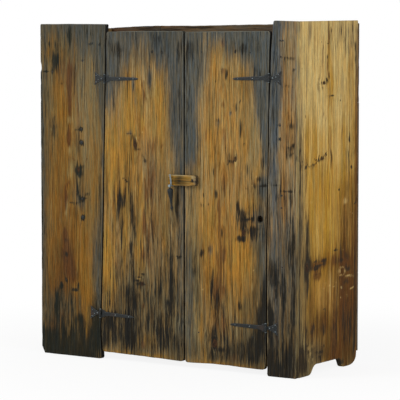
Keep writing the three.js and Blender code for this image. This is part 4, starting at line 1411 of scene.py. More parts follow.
LEFT_DOOR_WEATHER: dict[Tone, Marks] = {
    Tone.GREY: [
        (525, 1370, 260, 95, 1), (350, 1245, 62, 130, 0.95), (395, 1225, 40, 90, 0.6),
        (700, 1215, 70, 150, 1), (620, 1265, 70, 70, 0.8), (690, 1020, 44, 190, 0.85),
        (695, 850, 22, 120, 0.42), (340, 1075, 24, 60, 0.51), (470, 1270, 60, 60, 0.35),
        (475, 1115, 9, 40, 0.7), (551, 1140, 13, 50, 0.8), (455, 925, 16, 12, 0.51),
        (705, 400, 20, 360, 0.35), (700, 690, 16, 120, 0.34), (528, 800, 9, 16, 0.34),
        (486, 1052, 7, 18, 0.42), (700, 130, 30, 120, 0.3), (712, 420, 12, 300, 0.3),
        (350, 1090, 40, 120, 0.5), (640, 1330, 80, 60, 0.5), (400, 1300, 60, 60, 0.4),
        (700, 950, 22, 140, 0.5), (350, 1180, 40, 60, 0.4),
    ],
    Tone.SOOT: [
        (405, 1262, 20, 40, 0.75), (378, 1262, 14, 40, 0.6), (405, 1210, 12, 40, 0.4),
        (348, 1300, 10, 40, 0.4), (700, 1270, 22, 60, 0.5), (690, 1210, 12, 60, 0.4),
        (700, 1060, 10, 120, 0.45), (672, 1040, 8, 140, 0.35), (567, 1252, 6, 7, 0.9),
        (615, 1250, 8, 8, 0.5), (600, 1305, 30, 20, 0.35), (476, 1105, 6, 30, 0.45),
        (474, 905, 12, 22, 0.8), (484, 880, 13, 14, 0.8), (452, 925, 16, 6, 0.6), (490, 862, 22, 8, 0.65),
        (506, 862, 10, 8, 0.5, -40), (519, 838, 7, 20, 0.6, -30), (531, 817, 12, 11, 0.7),
        (503, 916, 5, 12, 0.5, 35), (553, 1193, 8, 5, 0.8), (556, 1160, 4, 30, 0.7),
        (552, 1120, 7, 26, 0.4), (420, 1131, 7, 4, 0.7), (532, 1107, 5, 4, 0.6), (378, 1090, 6, 30, 0.4),
        (374, 1055, 5, 40, 0.5), (397, 1165, 6, 30, 0.4), (433, 738, 4, 22, 0.85, -62),
        (430, 950, 3, 5, 0.5), (400, 640, 14, 60, 0.5), (425, 655, 9, 40, 0.43), (392, 560, 10, 90, 0.36),
        (412, 520, 10, 60, 0.36), (460, 620, 13, 80, 0.54), (470, 560, 14, 100, 0.54),
        (462, 470, 11, 40, 0.68), (470, 400, 9, 90, 0.43), (415, 470, 8, 50, 0.29), (555, 590, 9, 60, 0.43),
        (566, 560, 7, 60, 0.51), (575, 500, 14, 60, 0.43), (540, 470, 16, 50, 0.32),
        (612, 500, 9, 70, 0.43), (535, 640, 8, 30, 0.36), (660, 420, 13, 190, 0.72),
        (660, 300, 16, 60, 0.58), (690, 620, 12, 90, 0.5), (690, 440, 18, 5, 0.58, 20),
        (625, 340, 16, 50, 0.5), (600, 300, 14, 70, 0.43), (385, 350, 12, 70, 0.43),
        (350, 370, 6, 40, 0.34), (420, 330, 8, 90, 0.36), (445, 270, 16, 50, 0.58),
        (455, 180, 26, 130, 0.72), (480, 230, 16, 70, 0.58), (505, 315, 20, 26, 0.54),
        (490, 250, 12, 50, 0.5), (525, 260, 14, 60, 0.5), (545, 300, 10, 60, 0.36),
        (370, 185, 60, 24, 0.58), (340, 130, 34, 70, 0.5), (390, 110, 50, 60, 0.65), (440, 80, 20, 46, 0.5),
        (470, 90, 14, 50, 0.58), (510, 130, 10, 70, 0.5), (540, 170, 14, 50, 0.5), (600, 150, 34, 70, 0.61),
        (640, 110, 50, 60, 0.54), (655, 230, 26, 50, 0.58), (690, 180, 20, 60, 0.43),
        (570, 230, 14, 70, 0.43), (600, 80, 60, 30, 0.36), (345, 245, 14, 40, 0.36),
        (645, 255, 14, 10, 0.5), (690, 90, 30, 60, 0.43), (310, 100, 14, 80, 0.43), (560, 700, 6, 30, 0.5),
        (515, 700, 5, 20, 0.4), (345, 150, 40, 30, 0.7), (330, 80, 24, 50, 0.7), (716, 330, 6, 300, 0.5),
        (440, 120, 8, 70, 0.9), (465, 110, 9, 80, 0.9), (500, 100, 5, 60, 0.8), (478, 300, 5, 80, 0.6),
        (540, 400, 4, 120, 0.5), (585, 350, 4, 140, 0.5), (610, 420, 5, 120, 0.5), (635, 340, 5, 120, 0.5),
        (505, 330, 26, 4, 0.7, 12), (512, 350, 20, 3, 0.6, -12), (520, 362, 16, 3, 0.5, 14),
        (500, 318, 24, 4, 0.6, -6), (515, 385, 16, 3, 0.4, -10), (415, 655, 12, 40, 0.6),
        (400, 620, 8, 60, 0.5), (470, 640, 8, 50, 0.5), (448, 300, 10, 40, 0.6), (425, 742, 12, 3, 0.7, 30),
        (440, 732, 10, 3, 0.7, 35), (402, 640, 3, 30, 0.7), (412, 670, 4, 22, 0.7), (424, 655, 3, 26, 0.6),
        (395, 520, 3, 24, 0.5), (463, 470, 7, 22, 0.8), (470, 600, 6, 60, 0.4), (548, 690, 3, 20, 0.5),
        (560, 600, 4, 40, 0.5), (610, 310, 8, 26, 0.6), (655, 330, 12, 50, 0.6), (684, 640, 8, 50, 0.5),
        (698, 440, 16, 4, 0.8), (590, 480, 3, 40, 0.5), (640, 430, 3, 40, 0.5), (508, 345, 18, 3, 0.6, 12),
        (516, 362, 16, 2.6, 0.6, -8), (500, 330, 18, 4, 0.7, 20), (520, 320, 20, 5, 0.7, -5),
        (402, 655, 6, 34, 0.6), (424, 640, 5, 30, 0.6), (440, 150, 12, 60, 0.6), (470, 130, 10, 60, 0.5),
        (350, 150, 20, 36, 0.4),
    ],
    Tone.RED: [
        (545, 1110, 4, 70, 0.6, -15), (528, 1075, 7, 40, 0.75, 8), (515, 1130, 4, 60, 0.5, -10),
        (520, 1010, 6, 50, 0.5), (570, 880, 44, 40, 0.6), (620, 880, 16, 6, 0.5, -40),
        (560, 740, 36, 80, 0.6), (540, 690, 14, 60, 0.6), (525, 560, 14, 60, 0.8), (560, 540, 22, 70, 0.6),
        (520, 440, 14, 30, 0.8), (550, 430, 20, 60, 0.5), (500, 900, 8, 10, 0.6), (475, 960, 5, 60, 0.4),
        (320, 620, 6, 20, 0.4), (375, 650, 14, 60, 0.4), (520, 230, 9, 16, 0.8), (520, 70, 12, 24, 0.8),
        (560, 200, 10, 60, 0.4), (400, 780, 10, 90, 0.35), (460, 780, 10, 80, 0.4), (600, 640, 10, 60, 0.4),
        (395, 390, 16, 60, 0.5), (520, 560, 7, 50, 0.6), (545, 520, 6, 60, 0.5), (560, 640, 6, 60, 0.4),
        (520, 450, 6, 30, 0.5),
    ],
    Tone.HONEY: [
        (440, 1060, 30, 120, 0.7), (505, 1080, 26, 90, 0.5), (600, 1080, 40, 110, 0.7),
        (420, 850, 90, 120, 0.5), (610, 900, 30, 120, 0.4), (345, 400, 30, 190, 1),
        (500, 560, 12, 160, 0.8), (435, 560, 6, 120, 0.7), (630, 560, 14, 160, 0.6),
        (370, 300, 20, 60, 0.7), (500, 34, 220, 7, 0.9), (435, 85, 10, 40, 0.8, 10), (490, 80, 14, 34, 0.8),
        (545, 90, 34, 26, 0.6), (350, 105, 16, 30, 0.4), (490, 440, 14, 40, 0.8), (515, 950, 14, 30, 0.9),
        (440, 700, 60, 120, 0.5), (560, 620, 50, 100, 0.4), (360, 760, 40, 120, 0.5),
        (450, 900, 40, 90, 0.5), (335, 330, 14, 150, 1), (425, 500, 8, 160, 0.9), (505, 480, 16, 200, 0.9),
        (440, 80, 6, 50, 0.9), (565, 150, 5, 90, 0.7), (490, 60, 12, 40, 0.9), (420, 380, 8, 60, 0.7),
        (510, 380, 22, 26, 0.8), (600, 960, 50, 120, 0.4), (520, 980, 40, 90, 0.4), (420, 640, 30, 60, 0.4),
        (340, 820, 30, 120, 0.4), (508, 600, 8, 90, 0.8), (447, 560, 5, 110, 0.8), (384, 630, 5, 80, 0.6),
        (495, 400, 8, 50, 0.8), (430, 90, 5, 40, 0.8), (360, 110, 12, 16, 0.6), (545, 95, 24, 22, 0.8),
    ],
    Tone.OLIVE: [
        (350, 900, 34, 180, 0.66), (590, 1000, 60, 180, 0.49), (440, 1200, 60, 60, 0.42),
        (700, 830, 24, 90, 0.56), (620, 780, 60, 90, 0.35), (680, 720, 40, 60, 0.42),
        (420, 980, 10, 120, 0.42), (650, 640, 30, 90, 0.35), (700, 240, 24, 160, 0.34),
        (340, 620, 20, 90, 0.35), (680, 90, 50, 60, 0.42), (690, 150, 40, 160, 0.7),
        (600, 260, 90, 120, 0.3), (470, 640, 40, 60, 0.4),
    ],
    Tone.RUDDY: [
        (490, 1010, 60, 150, 0.39), (480, 1250, 60, 60, 0.35), (560, 1240, 60, 70, 0.42),
        (400, 950, 30, 130, 0.35), (560, 820, 80, 110, 0.56), (440, 760, 60, 90, 0.35),
        (390, 620, 50, 130, 0.42), (560, 640, 60, 120, 0.42), (590, 420, 60, 120, 0.28),
        (400, 400, 60, 120, 0.35), (560, 700, 60, 90, 0.35),
    ],
    Tone.PALE: [
        (490, 902, 7, 14, 0.8, -20), (521, 932, 12, 6, 0.8, 15), (525, 958, 5, 16, 0.5, 35),
        (515, 405, 16, 8, 0.32), (500, 340, 12, 4, 0.8, 20), (520, 348, 14, 4, 0.36, -20),
        (512, 365, 22, 4, 0.32), (447, 560, 3, 120, 0.7), (360, 960, 8, 80, 0.4), (498, 80, 5, 40, 0.5),
        (430, 1040, 4, 70, 0.4), (709, 880, 6, 70, 0.7), (553, 370, 4, 40, 0.6), (420, 300, 3, 50, 0.6),
        (335, 640, 3, 60, 0.4), (525, 795, 10, 12, 0.5), (517, 600, 5, 60, 0.5), (388, 600, 3, 60, 0.5),
        (560, 230, 3, 50, 0.5), (645, 262, 10, 3, 0.5), (420, 420, 3, 110, 0.5), (342, 360, 3, 120, 0.4),
        (505, 500, 3, 110, 0.5), (436, 100, 3, 40, 0.5), (505, 372, 14, 2.5, 0.36, 22),
        (522, 372, 12, 2.5, 0.36, -22), (508, 356, 12, 2.5, 0.32, 24), (524, 355, 10, 2.5, 0.32, -24),
        (512, 392, 12, 2.5, 0.23, 12), (508, 610, 5, 70, 0.6), (493, 400, 3, 60, 0.6),
        (600, 620, 3, 110, 0.4), (630, 560, 4, 90, 0.4), (437, 1000, 4, 130, 0.5), (350, 850, 5, 60, 0.4),
    ],
    Tone.UMBER: [
        (525, 1345, 240, 90, 0.6), (540, 1250, 130, 70, 0.45), (380, 1170, 60, 100, 0.3),
        (670, 1150, 40, 200, 0.35), (560, 500, 150, 190, 0.15), (420, 610, 60, 150, 0.25),
        (465, 480, 30, 160, 0.14), (560, 300, 190, 130, 0.23), (440, 180, 140, 130, 0.47),
        (620, 150, 130, 110, 0.47), (480, 890, 50, 40, 0.25), (570, 850, 60, 60, 0.17),
        (690, 560, 40, 200, 0.35), (660, 400, 60, 180, 0.19), (660, 960, 26, 140, 0.3),
        (475, 1100, 24, 70, 0.2), (555, 1140, 26, 60, 0.2), (380, 1080, 30, 60, 0.2),
        (520, 80, 220, 40, 0.3), (540, 740, 80, 120, 0.15), (540, 190, 200, 170, 0.55),
        (470, 330, 90, 110, 0.19), (600, 330, 110, 110, 0.22), (400, 120, 110, 90, 0.5),
        (560, 450, 60, 90, 0.19), (690, 60, 40, 60, 0.6), (520, 60, 200, 26, 0.4), (340, 640, 26, 90, 0.4),
        (560, 660, 50, 90, 0.4), (640, 640, 40, 90, 0.35), (505, 560, 24, 60, 0.35),
    ],
    Tone.BURNT: [
        (560, 760, 90, 150, 0.3), (500, 880, 60, 60, 0.24), (390, 640, 50, 100, 0.3),
        (440, 700, 60, 120, 0.21), (560, 520, 60, 120, 0.36), (420, 420, 60, 120, 0.27),
        (600, 380, 90, 120, 0.18), (400, 260, 60, 60, 0.36),
    ],
    Tone.CHAR: [
        (560, 560, 170, 180, 0.42), (420, 620, 70, 140, 0.48), (545, 320, 220, 140, 0.54),
        (440, 190, 140, 120, 0.75), (620, 170, 130, 110, 0.71), (565, 850, 60, 60, 0.28),
        (470, 740, 60, 60, 0.32), (690, 600, 36, 180, 0.3), (490, 890, 40, 40, 0.32),
        (540, 1260, 200, 60, 0.35), (400, 400, 80, 120, 0.36), (500, 70, 200, 40, 0.6),
    ],
    Tone.RUBBED: [
        (525, 1336, 210, 9, 0.9), (716, 1180, 7, 150, 1), (716, 900, 7, 150, 0.9), (330, 1200, 5, 130, 0.3),
        (716, 600, 6, 120, 0.5),
    ],
}

RIGHT_DOOR_WEATHER: dict[Tone, Marks] = {
    Tone.GREY: [
        (920, 1370, 260, 80, 1), (750, 1230, 62, 150, 1), (742, 1020, 44, 190, 1), (742, 890, 34, 70, 0.9),
        (1085, 1240, 60, 130, 0.95), (1090, 1090, 42, 130, 1), (1000, 1270, 60, 60, 0.75),
        (1095, 960, 18, 80, 0.8), (735, 420, 26, 330, 0.42), (745, 200, 26, 190, 0.34),
        (1093, 730, 22, 50, 0.9), (1098, 860, 18, 60, 0.6), (1098, 420, 24, 300, 0.51),
        (880, 975, 14, 18, 0.5), (985, 600, 26, 60, 0.4), (1050, 560, 34, 60, 0.32),
        (1045, 620, 22, 24, 0.4), (845, 475, 12, 26, 0.48), (812, 1215, 30, 70, 0.4),
        (940, 1016, 8, 10, 0.7), (1080, 1280, 50, 50, 0.5), (742, 950, 30, 120, 0.4),
    ],
    Tone.SOOT: [
        (745, 1250, 30, 50, 0.6), (742, 1150, 16, 90, 0.45), (738, 980, 14, 110, 0.35),
        (1000, 1262, 34, 26, 0.55), (1060, 1170, 26, 30, 0.4), (876, 985, 12, 8, 0.6),
        (879, 930, 5, 60, 0.65, 8), (868, 865, 4, 30, 0.5), (918, 1165, 8, 24, 0.85),
        (905, 1185, 12, 8, 0.4), (870, 1138, 5, 5, 0.9), (905, 1290, 14, 14, 0.3), (962, 1253, 9, 8, 0.8),
        (940, 1016, 7, 8, 0.6), (962, 1035, 6, 25, 0.6), (984, 1060, 4, 18, 0.7, 30),
        (985, 955, 6, 44, 0.7), (962, 975, 6, 30, 0.5), (963, 845, 8, 20, 0.8), (943, 826, 18, 6, 0.9),
        (935, 850, 10, 18, 0.5), (926, 812, 6, 8, 0.6), (1015, 800, 8, 30, 0.65), (1012, 725, 5, 6, 0.8),
        (1000, 895, 10, 5, 0.6, -20), (1068, 760, 14, 14, 0.6), (1050, 735, 10, 14, 0.6),
        (1095, 738, 14, 6, 1), (1078, 735, 8, 4, 0.7), (1088, 830, 10, 44, 0.7), (1086, 880, 6, 20, 0.5),
        (1078, 960, 6, 60, 0.5), (875, 695, 9, 22, 0.75), (812, 690, 5, 12, 0.7), (860, 780, 5, 24, 0.6),
        (898, 545, 5, 26, 0.75), (970, 655, 9, 26, 0.7), (985, 625, 15, 24, 0.85), (992, 575, 11, 30, 0.75),
        (985, 530, 26, 12, 0.85), (1012, 605, 14, 6, 0.6), (1042, 605, 10, 12, 0.8),
        (1056, 570, 20, 6, 0.6), (1035, 545, 9, 26, 0.75), (1056, 555, 10, 26, 0.6),
        (805, 460, 13, 18, 0.65), (772, 445, 6, 30, 0.6), (840, 480, 12, 16, 0.35),
        (765, 390, 16, 30, 0.45), (790, 380, 8, 50, 0.4), (855, 360, 7, 60, 0.6), (848, 300, 9, 40, 0.6),
        (878, 270, 14, 60, 0.75), (905, 240, 16, 60, 0.52), (985, 262, 14, 22, 0.65),
        (962, 222, 6, 40, 0.6), (870, 210, 12, 60, 0.4), (862, 118, 18, 30, 0.8), (893, 86, 28, 12, 0.72),
        (850, 62, 16, 40, 0.64), (910, 140, 12, 40, 0.48), (930, 110, 26, 40, 0.48),
        (985, 80, 40, 50, 0.64), (1030, 100, 22, 60, 0.72), (1070, 130, 34, 80, 0.9),
        (1050, 70, 34, 34, 0.56), (1092, 250, 22, 120, 1), (1065, 220, 12, 60, 0.7),
        (900, 60, 30, 26, 0.48), (800, 220, 8, 60, 0.32), (808, 90, 8, 40, 0.4), (780, 240, 8, 60, 0.24),
        (1098, 560, 8, 120, 0.5), (930, 60, 20, 30, 0.48), (955, 140, 6, 50, 0.4), (760, 430, 10, 20, 0.4),
        (990, 600, 20, 40, 0.5), (1040, 560, 26, 26, 0.5), (985, 520, 30, 10, 0.6),
        (1100, 330, 6, 160, 0.6), (845, 250, 4, 110, 0.5), (858, 160, 14, 30, 0.6),
        (1000, 600, 30, 10, 0.5), (1000, 560, 14, 30, 0.6), (1035, 560, 22, 14, 0.6),
        (1050, 530, 12, 22, 0.5), (805, 650, 14, 10, 0.5), (838, 655, 8, 8, 0.5), (838, 480, 7, 20, 0.4),
        (990, 600, 14, 18, 0.5), (1030, 608, 22, 7, 0.6), (785, 420, 4, 40, 0.5), (770, 380, 5, 36, 0.5),
    ],
    Tone.RED: [
        (905, 1285, 18, 20, 0.7), (907, 1048, 12, 18, 0.75), (912, 1010, 8, 24, 0.5),
        (910, 930, 9, 40, 0.75), (884, 650, 5, 80, 0.8), (890, 590, 4, 60, 0.6), (910, 465, 12, 34, 0.85),
        (893, 400, 8, 100, 0.6), (875, 450, 8, 40, 0.6), (905, 185, 12, 70, 0.8), (875, 180, 10, 24, 0.6),
        (872, 96, 14, 8, 0.8), (905, 1178, 18, 16, 0.7), (908, 740, 10, 60, 0.6), (945, 830, 30, 26, 0.5),
        (825, 930, 6, 30, 0.6), (905, 320, 22, 40, 0.5), (870, 300, 16, 60, 0.6), (820, 260, 8, 60, 0.5),
        (820, 400, 8, 60, 0.5), (955, 60, 30, 24, 0.5), (865, 330, 40, 60, 0.4), (1050, 745, 12, 20, 0.5),
        (885, 740, 4, 40, 0.6), (885, 560, 4, 120, 0.7), (895, 470, 5, 90, 0.6), (880, 380, 5, 90, 0.5),
        (868, 230, 5, 90, 0.5), (822, 330, 5, 70, 0.5), (911, 452, 7, 26, 0.9), (880, 652, 3, 26, 0.8),
        (905, 360, 3, 60, 0.7), (895, 250, 3, 60, 0.6), (905, 185, 6, 30, 0.7),
    ],
    Tone.HONEY: [
        (950, 450, 130, 190, 0.95), (850, 600, 60, 120, 0.5), (850, 360, 26, 120, 0.8),
        (930, 790, 60, 80, 0.4), (850, 940, 50, 120, 0.45), (1000, 260, 60, 60, 0.7),
        (1030, 660, 26, 40, 0.6), (822, 62, 12, 34, 0.9), (920, 30, 170, 7, 0.9), (757, 795, 30, 26, 0.9),
        (860, 1190, 20, 90, 0.6), (1000, 1120, 40, 60, 0.5), (1030, 590, 12, 26, 0.7),
        (1050, 330, 14, 60, 0.6), (1075, 45, 40, 8, 0.5), (880, 1260, 20, 40, 0.5), (930, 360, 3, 60, 0.9),
        (908, 420, 4, 120, 0.9), (830, 330, 10, 90, 0.8), (800, 160, 12, 60, 0.6),
        (900, 1100, 60, 130, 0.4), (850, 860, 40, 90, 0.5), (980, 920, 60, 120, 0.4),
        (1060, 800, 20, 60, 0.5),
    ],
    Tone.OLIVE: [
        (760, 620, 40, 200, 0.72), (750, 270, 50, 200, 0.72), (1060, 900, 20, 110, 0.72),
        (1000, 1080, 60, 120, 0.56), (1040, 780, 30, 90, 0.48), (900, 1120, 60, 110, 0.4),
        (1080, 560, 20, 160, 0.48), (790, 780, 20, 60, 0.48), (770, 80, 60, 70, 0.56),
        (920, 640, 14, 90, 0.4), (840, 720, 50, 60, 0.32), (1030, 960, 30, 60, 0.48),
        (750, 420, 40, 200, 0.7), (745, 150, 40, 160, 0.7), (1075, 60, 40, 50, 0.5),
        (1070, 420, 26, 120, 0.5),
    ],
    Tone.RUDDY: [
        (840, 1060, 50, 150, 0.35), (930, 900, 60, 120, 0.35), (900, 740, 80, 100, 0.42),
        (960, 560, 60, 80, 0.35), (900, 450, 50, 120, 0.35), (880, 260, 60, 120, 0.49),
        (820, 860, 50, 100, 0.28), (850, 1230, 60, 50, 0.28), (950, 150, 60, 60, 0.28),
        (980, 780, 50, 70, 0.35), (880, 480, 60, 160, 0.5), (860, 200, 50, 110, 0.5),
        (890, 620, 30, 90, 0.4),
    ],
    Tone.PALE: [
        (1102, 900, 5, 60, 0.7), (1064, 940, 8, 80, 0.6), (735, 790, 8, 30, 0.7), (870, 1250, 5, 60, 0.3),
        (808, 318, 7, 4, 0.9, -30), (908, 640, 3, 80, 0.4), (930, 310, 3, 22, 0.8), (1088, 892, 18, 4, 0.6),
        (1040, 345, 6, 26, 0.7), (1065, 280, 4, 20, 0.6), (1046, 408, 4, 4, 0.9), (1075, 590, 16, 5, 0.6),
        (905, 690, 4, 30, 0.5), (915, 390, 3, 60, 0.5), (745, 620, 4, 60, 0.4), (1058, 770, 6, 8, 0.6),
        (1040, 738, 6, 4, 0.6), (805, 340, 3, 20, 0.5), (980, 600, 3, 60, 0.4), (1022, 580, 4, 24, 0.5),
        (758, 560, 3, 90, 0.4),
    ],
    Tone.UMBER: [
        (920, 1345, 240, 70, 0.42), (990, 1265, 80, 60, 0.42), (980, 120, 160, 80, 0.54),
        (1080, 290, 50, 170, 0.48), (860, 300, 60, 110, 0.15), (1030, 600, 70, 80, 0.3),
        (1090, 560, 30, 200, 0.42), (750, 400, 50, 160, 0.45), (1060, 130, 80, 90, 0.48),
        (790, 1170, 40, 90, 0.3), (1060, 1150, 50, 110, 0.36), (765, 960, 40, 150, 0.42),
        (870, 110, 60, 70, 0.21), (960, 830, 50, 40, 0.24), (740, 100, 50, 120, 0.24),
        (1075, 730, 50, 50, 0.36), (880, 950, 26, 90, 0.21), (985, 950, 20, 70, 0.21),
        (780, 460, 40, 60, 0.3), (760, 860, 36, 60, 0.36), (1055, 60, 60, 46, 0.7),
        (1085, 400, 26, 140, 0.5), (1080, 500, 20, 60, 0.4), (960, 70, 60, 40, 0.5),
        (880, 60, 50, 40, 0.25), (1040, 150, 60, 80, 0.45), (960, 300, 60, 90, 0.4),
        (1030, 290, 50, 90, 0.5), (820, 270, 40, 60, 0.4), (745, 300, 30, 160, 0.4),
        (1070, 460, 26, 90, 0.5), (850, 1270, 100, 50, 0.35), (960, 1275, 60, 40, 0.4),
        (970, 190, 50, 60, 0.3), (765, 70, 44, 46, 0.6), (900, 55, 70, 26, 0.4),
    ],
    Tone.BURNT: [
        (850, 350, 60, 110, 0.18), (890, 210, 60, 110, 0.25), (1000, 580, 60, 80, 0.18),
        (900, 100, 60, 70, 0.25), (940, 160, 50, 50, 0.18), (910, 480, 26, 60, 0.14),
        (830, 880, 40, 90, 0.18), (945, 830, 40, 40, 0.24), (965, 60, 120, 34, 0.22),
    ],
    Tone.CHAR: [
        (1005, 590, 60, 80, 0.72), (980, 120, 170, 80, 0.58), (1080, 270, 50, 150, 0.38),
        (1050, 620, 50, 60, 0.56), (880, 240, 60, 110, 0.45), (850, 350, 50, 90, 0.32),
        (785, 430, 50, 70, 0.48), (985, 1260, 80, 50, 0.28), (880, 960, 30, 80, 0.2),
        (870, 100, 60, 60, 0.58), (750, 1150, 40, 180, 0.24), (1080, 740, 40, 40, 0.48),
    ],
    Tone.RUBBED: [
        (920, 1331, 200, 9, 1), (726, 1000, 5, 200, 0.5), (1112, 1240, 12, 120, 0.6),
        (727, 560, 5, 160, 0.6), (1106, 880, 8, 100, 0.6),
    ],
}

RIGHT_STILE_WEATHER: dict[Tone, Marks] = {
    Tone.GREY: [
        (1140, 1250, 36, 200, 0.95), (1138, 1030, 26, 150, 0.9), (1175, 1370, 60, 40, 0.5),
        (1138, 760, 24, 200, 0.7), (1218, 560, 26, 190, 0.34), (1150, 500, 36, 200, 0.29),
        (1180, 640, 50, 120, 0.17), (1222, 1230, 12, 100, 0.3), (1180, 330, 60, 180, 0.29),
        (1215, 1090, 14, 60, 0.35), (1130, 300, 24, 260, 0.29), (1140, 1180, 22, 200, 0.6),
        (1128, 900, 16, 200, 0.5), (1237, 1345, 10, 26, 0.4), (1237, 1195, 10, 36, 0.4),
        (1237, 960, 10, 60, 0.35),
    ],
    Tone.SOOT: [
        (1135, 1100, 8, 220, 0.5), (1205, 1226, 32, 8, 0.6), (1200, 1120, 32, 6, 0.5),
        (1215, 970, 20, 18, 0.6), (1160, 972, 9, 9, 0.8), (1163, 918, 9, 10, 0.8), (1205, 870, 22, 32, 0.6),
        (1222, 895, 10, 12, 0.7), (1200, 720, 36, 7, 0.8), (1215, 690, 18, 32, 0.6),
        (1140, 742, 40, 4, 0.6, 10), (1220, 560, 14, 110, 0.6), (1180, 70, 90, 80, 0.65),
        (1228, 250, 10, 160, 0.7), (1130, 200, 20, 140, 0.6), (1185, 300, 14, 120, 0.5),
        (1150, 420, 10, 120, 0.4), (1118, 700, 8, 300, 0.5), (1180, 10, 90, 36, 0.72),
        (1168, 1292, 12, 6, 0.5), (1166, 1232, 9, 8, 0.5), (1226, 1184, 10, 9, 0.7),
        (1205, 885, 16, 5, 0.5, 30), (1215, 860, 14, 5, 0.5, -30), (1200, 1005, 3, 24, 0.5),
        (1128, 60, 26, 120, 0.8), (1200, 40, 26, 80, 0.7), (1162, 20, 30, 44, 0.8),
        (1120, 230, 14, 70, 0.6), (1215, 150, 12, 120, 0.6), (1222, 420, 10, 120, 0.5),
        (1185, 360, 30, 60, 0.4), (1140, 400, 20, 60, 0.4), (1212, 480, 20, 60, 0.4),
        (1237, 40, 8, 60, 0.5), (1237, 150, 7, 26, 0.4), (1237, 460, 6, 24, 0.4), (1237, 845, 6, 18, 0.5),
        (1150, 380, 30, 70, 0.5), (1190, 300, 16, 60, 0.5), (1120, 420, 12, 50, 0.5),
    ],
    Tone.RED: [
        (1195, 930, 30, 80, 0.5), (1190, 740, 12, 90, 0.5), (1160, 850, 12, 60, 0.4),
        (1150, 180, 20, 100, 0.4), (1200, 1060, 10, 60, 0.3),
    ],
    Tone.HONEY: [
        (1200, 960, 34, 120, 0.5), (1180, 620, 14, 180, 0.5), (1140, 310, 8, 40, 0.6),
        (1150, 130, 6, 80, 0.4), (1197, 90, 5, 70, 0.6), (1185, 220, 16, 80, 0.3),
        (1175, 1215, 20, 60, 0.5), (1185, 1130, 24, 50, 0.6), (1195, 1010, 20, 50, 0.5),
        (1150, 1300, 10, 40, 0.3), (1145, 300, 6, 44, 0.8), (1196, 220, 12, 44, 0.7),
        (1172, 620, 12, 120, 0.6), (1160, 520, 8, 90, 0.6), (1120, 560, 16, 120, 0.4),
        (1190, 1100, 30, 160, 0.5), (1180, 800, 24, 120, 0.4),
    ],
    Tone.OLIVE: [(1190, 1200, 40, 120, 0.5), (1160, 820, 30, 160, 0.5), (1190, 500, 40, 120, 0.5)],
    Tone.RUDDY: [(1190, 1080, 30, 80, 0.5), (1170, 700, 20, 100, 0.4)],
    Tone.PALE: [
        (1210, 820, 14, 50, 0.3), (1176, 427, 5, 6, 0.9), (1205, 1300, 26, 40, 0.27),
        (1210, 1180, 18, 50, 0.21), (1216, 1010, 6, 20, 0.4), (1205, 830, 8, 14, 0.4),
        (1196, 770, 8, 12, 0.4),
    ],
    Tone.UMBER: [
        (1180, 420, 70, 190, 0.51), (1218, 330, 30, 260, 0.48), (1180, 170, 80, 160, 0.76),
        (1200, 720, 40, 80, 0.36), (1150, 880, 20, 80, 0.24), (1215, 900, 26, 80, 0.27),
        (1150, 620, 34, 120, 0.36), (1145, 1100, 26, 160, 0.3), (1145, 1290, 30, 80, 0.3),
        (1185, 1100, 30, 60, 0.18), (1160, 330, 60, 160, 0.5), (1170, 150, 40, 100, 0.4),
        (1237, 60, 9, 120, 0.85), (1237, 200, 9, 60, 0.59), (1237, 310, 9, 70, 0.51),
        (1237, 440, 9, 80, 0.72), (1237, 560, 9, 60, 0.42), (1237, 720, 9, 110, 0.42),
        (1237, 900, 9, 90, 0.47), (1237, 1010, 9, 60, 0.26), (1150, 480, 40, 90, 0.4),
    ],
    Tone.CHAR: [
        (1180, 230, 80, 230, 0.72), (1185, 700, 70, 260, 0.48), (1150, 1230, 30, 160, 0.32),
        (1205, 1180, 30, 60, 0.32), (1200, 930, 40, 90, 0.4),
    ],
    Tone.RUBBED: [(1133, 1260, 9, 110, 0.7), (1236, 1200, 5, 170, 0.8), (1236, 700, 5, 200, 0.5)],
    Tone.BURNT: [(1237, 140, 8, 60, 0.6), (1237, 450, 8, 60, 0.4)],
}

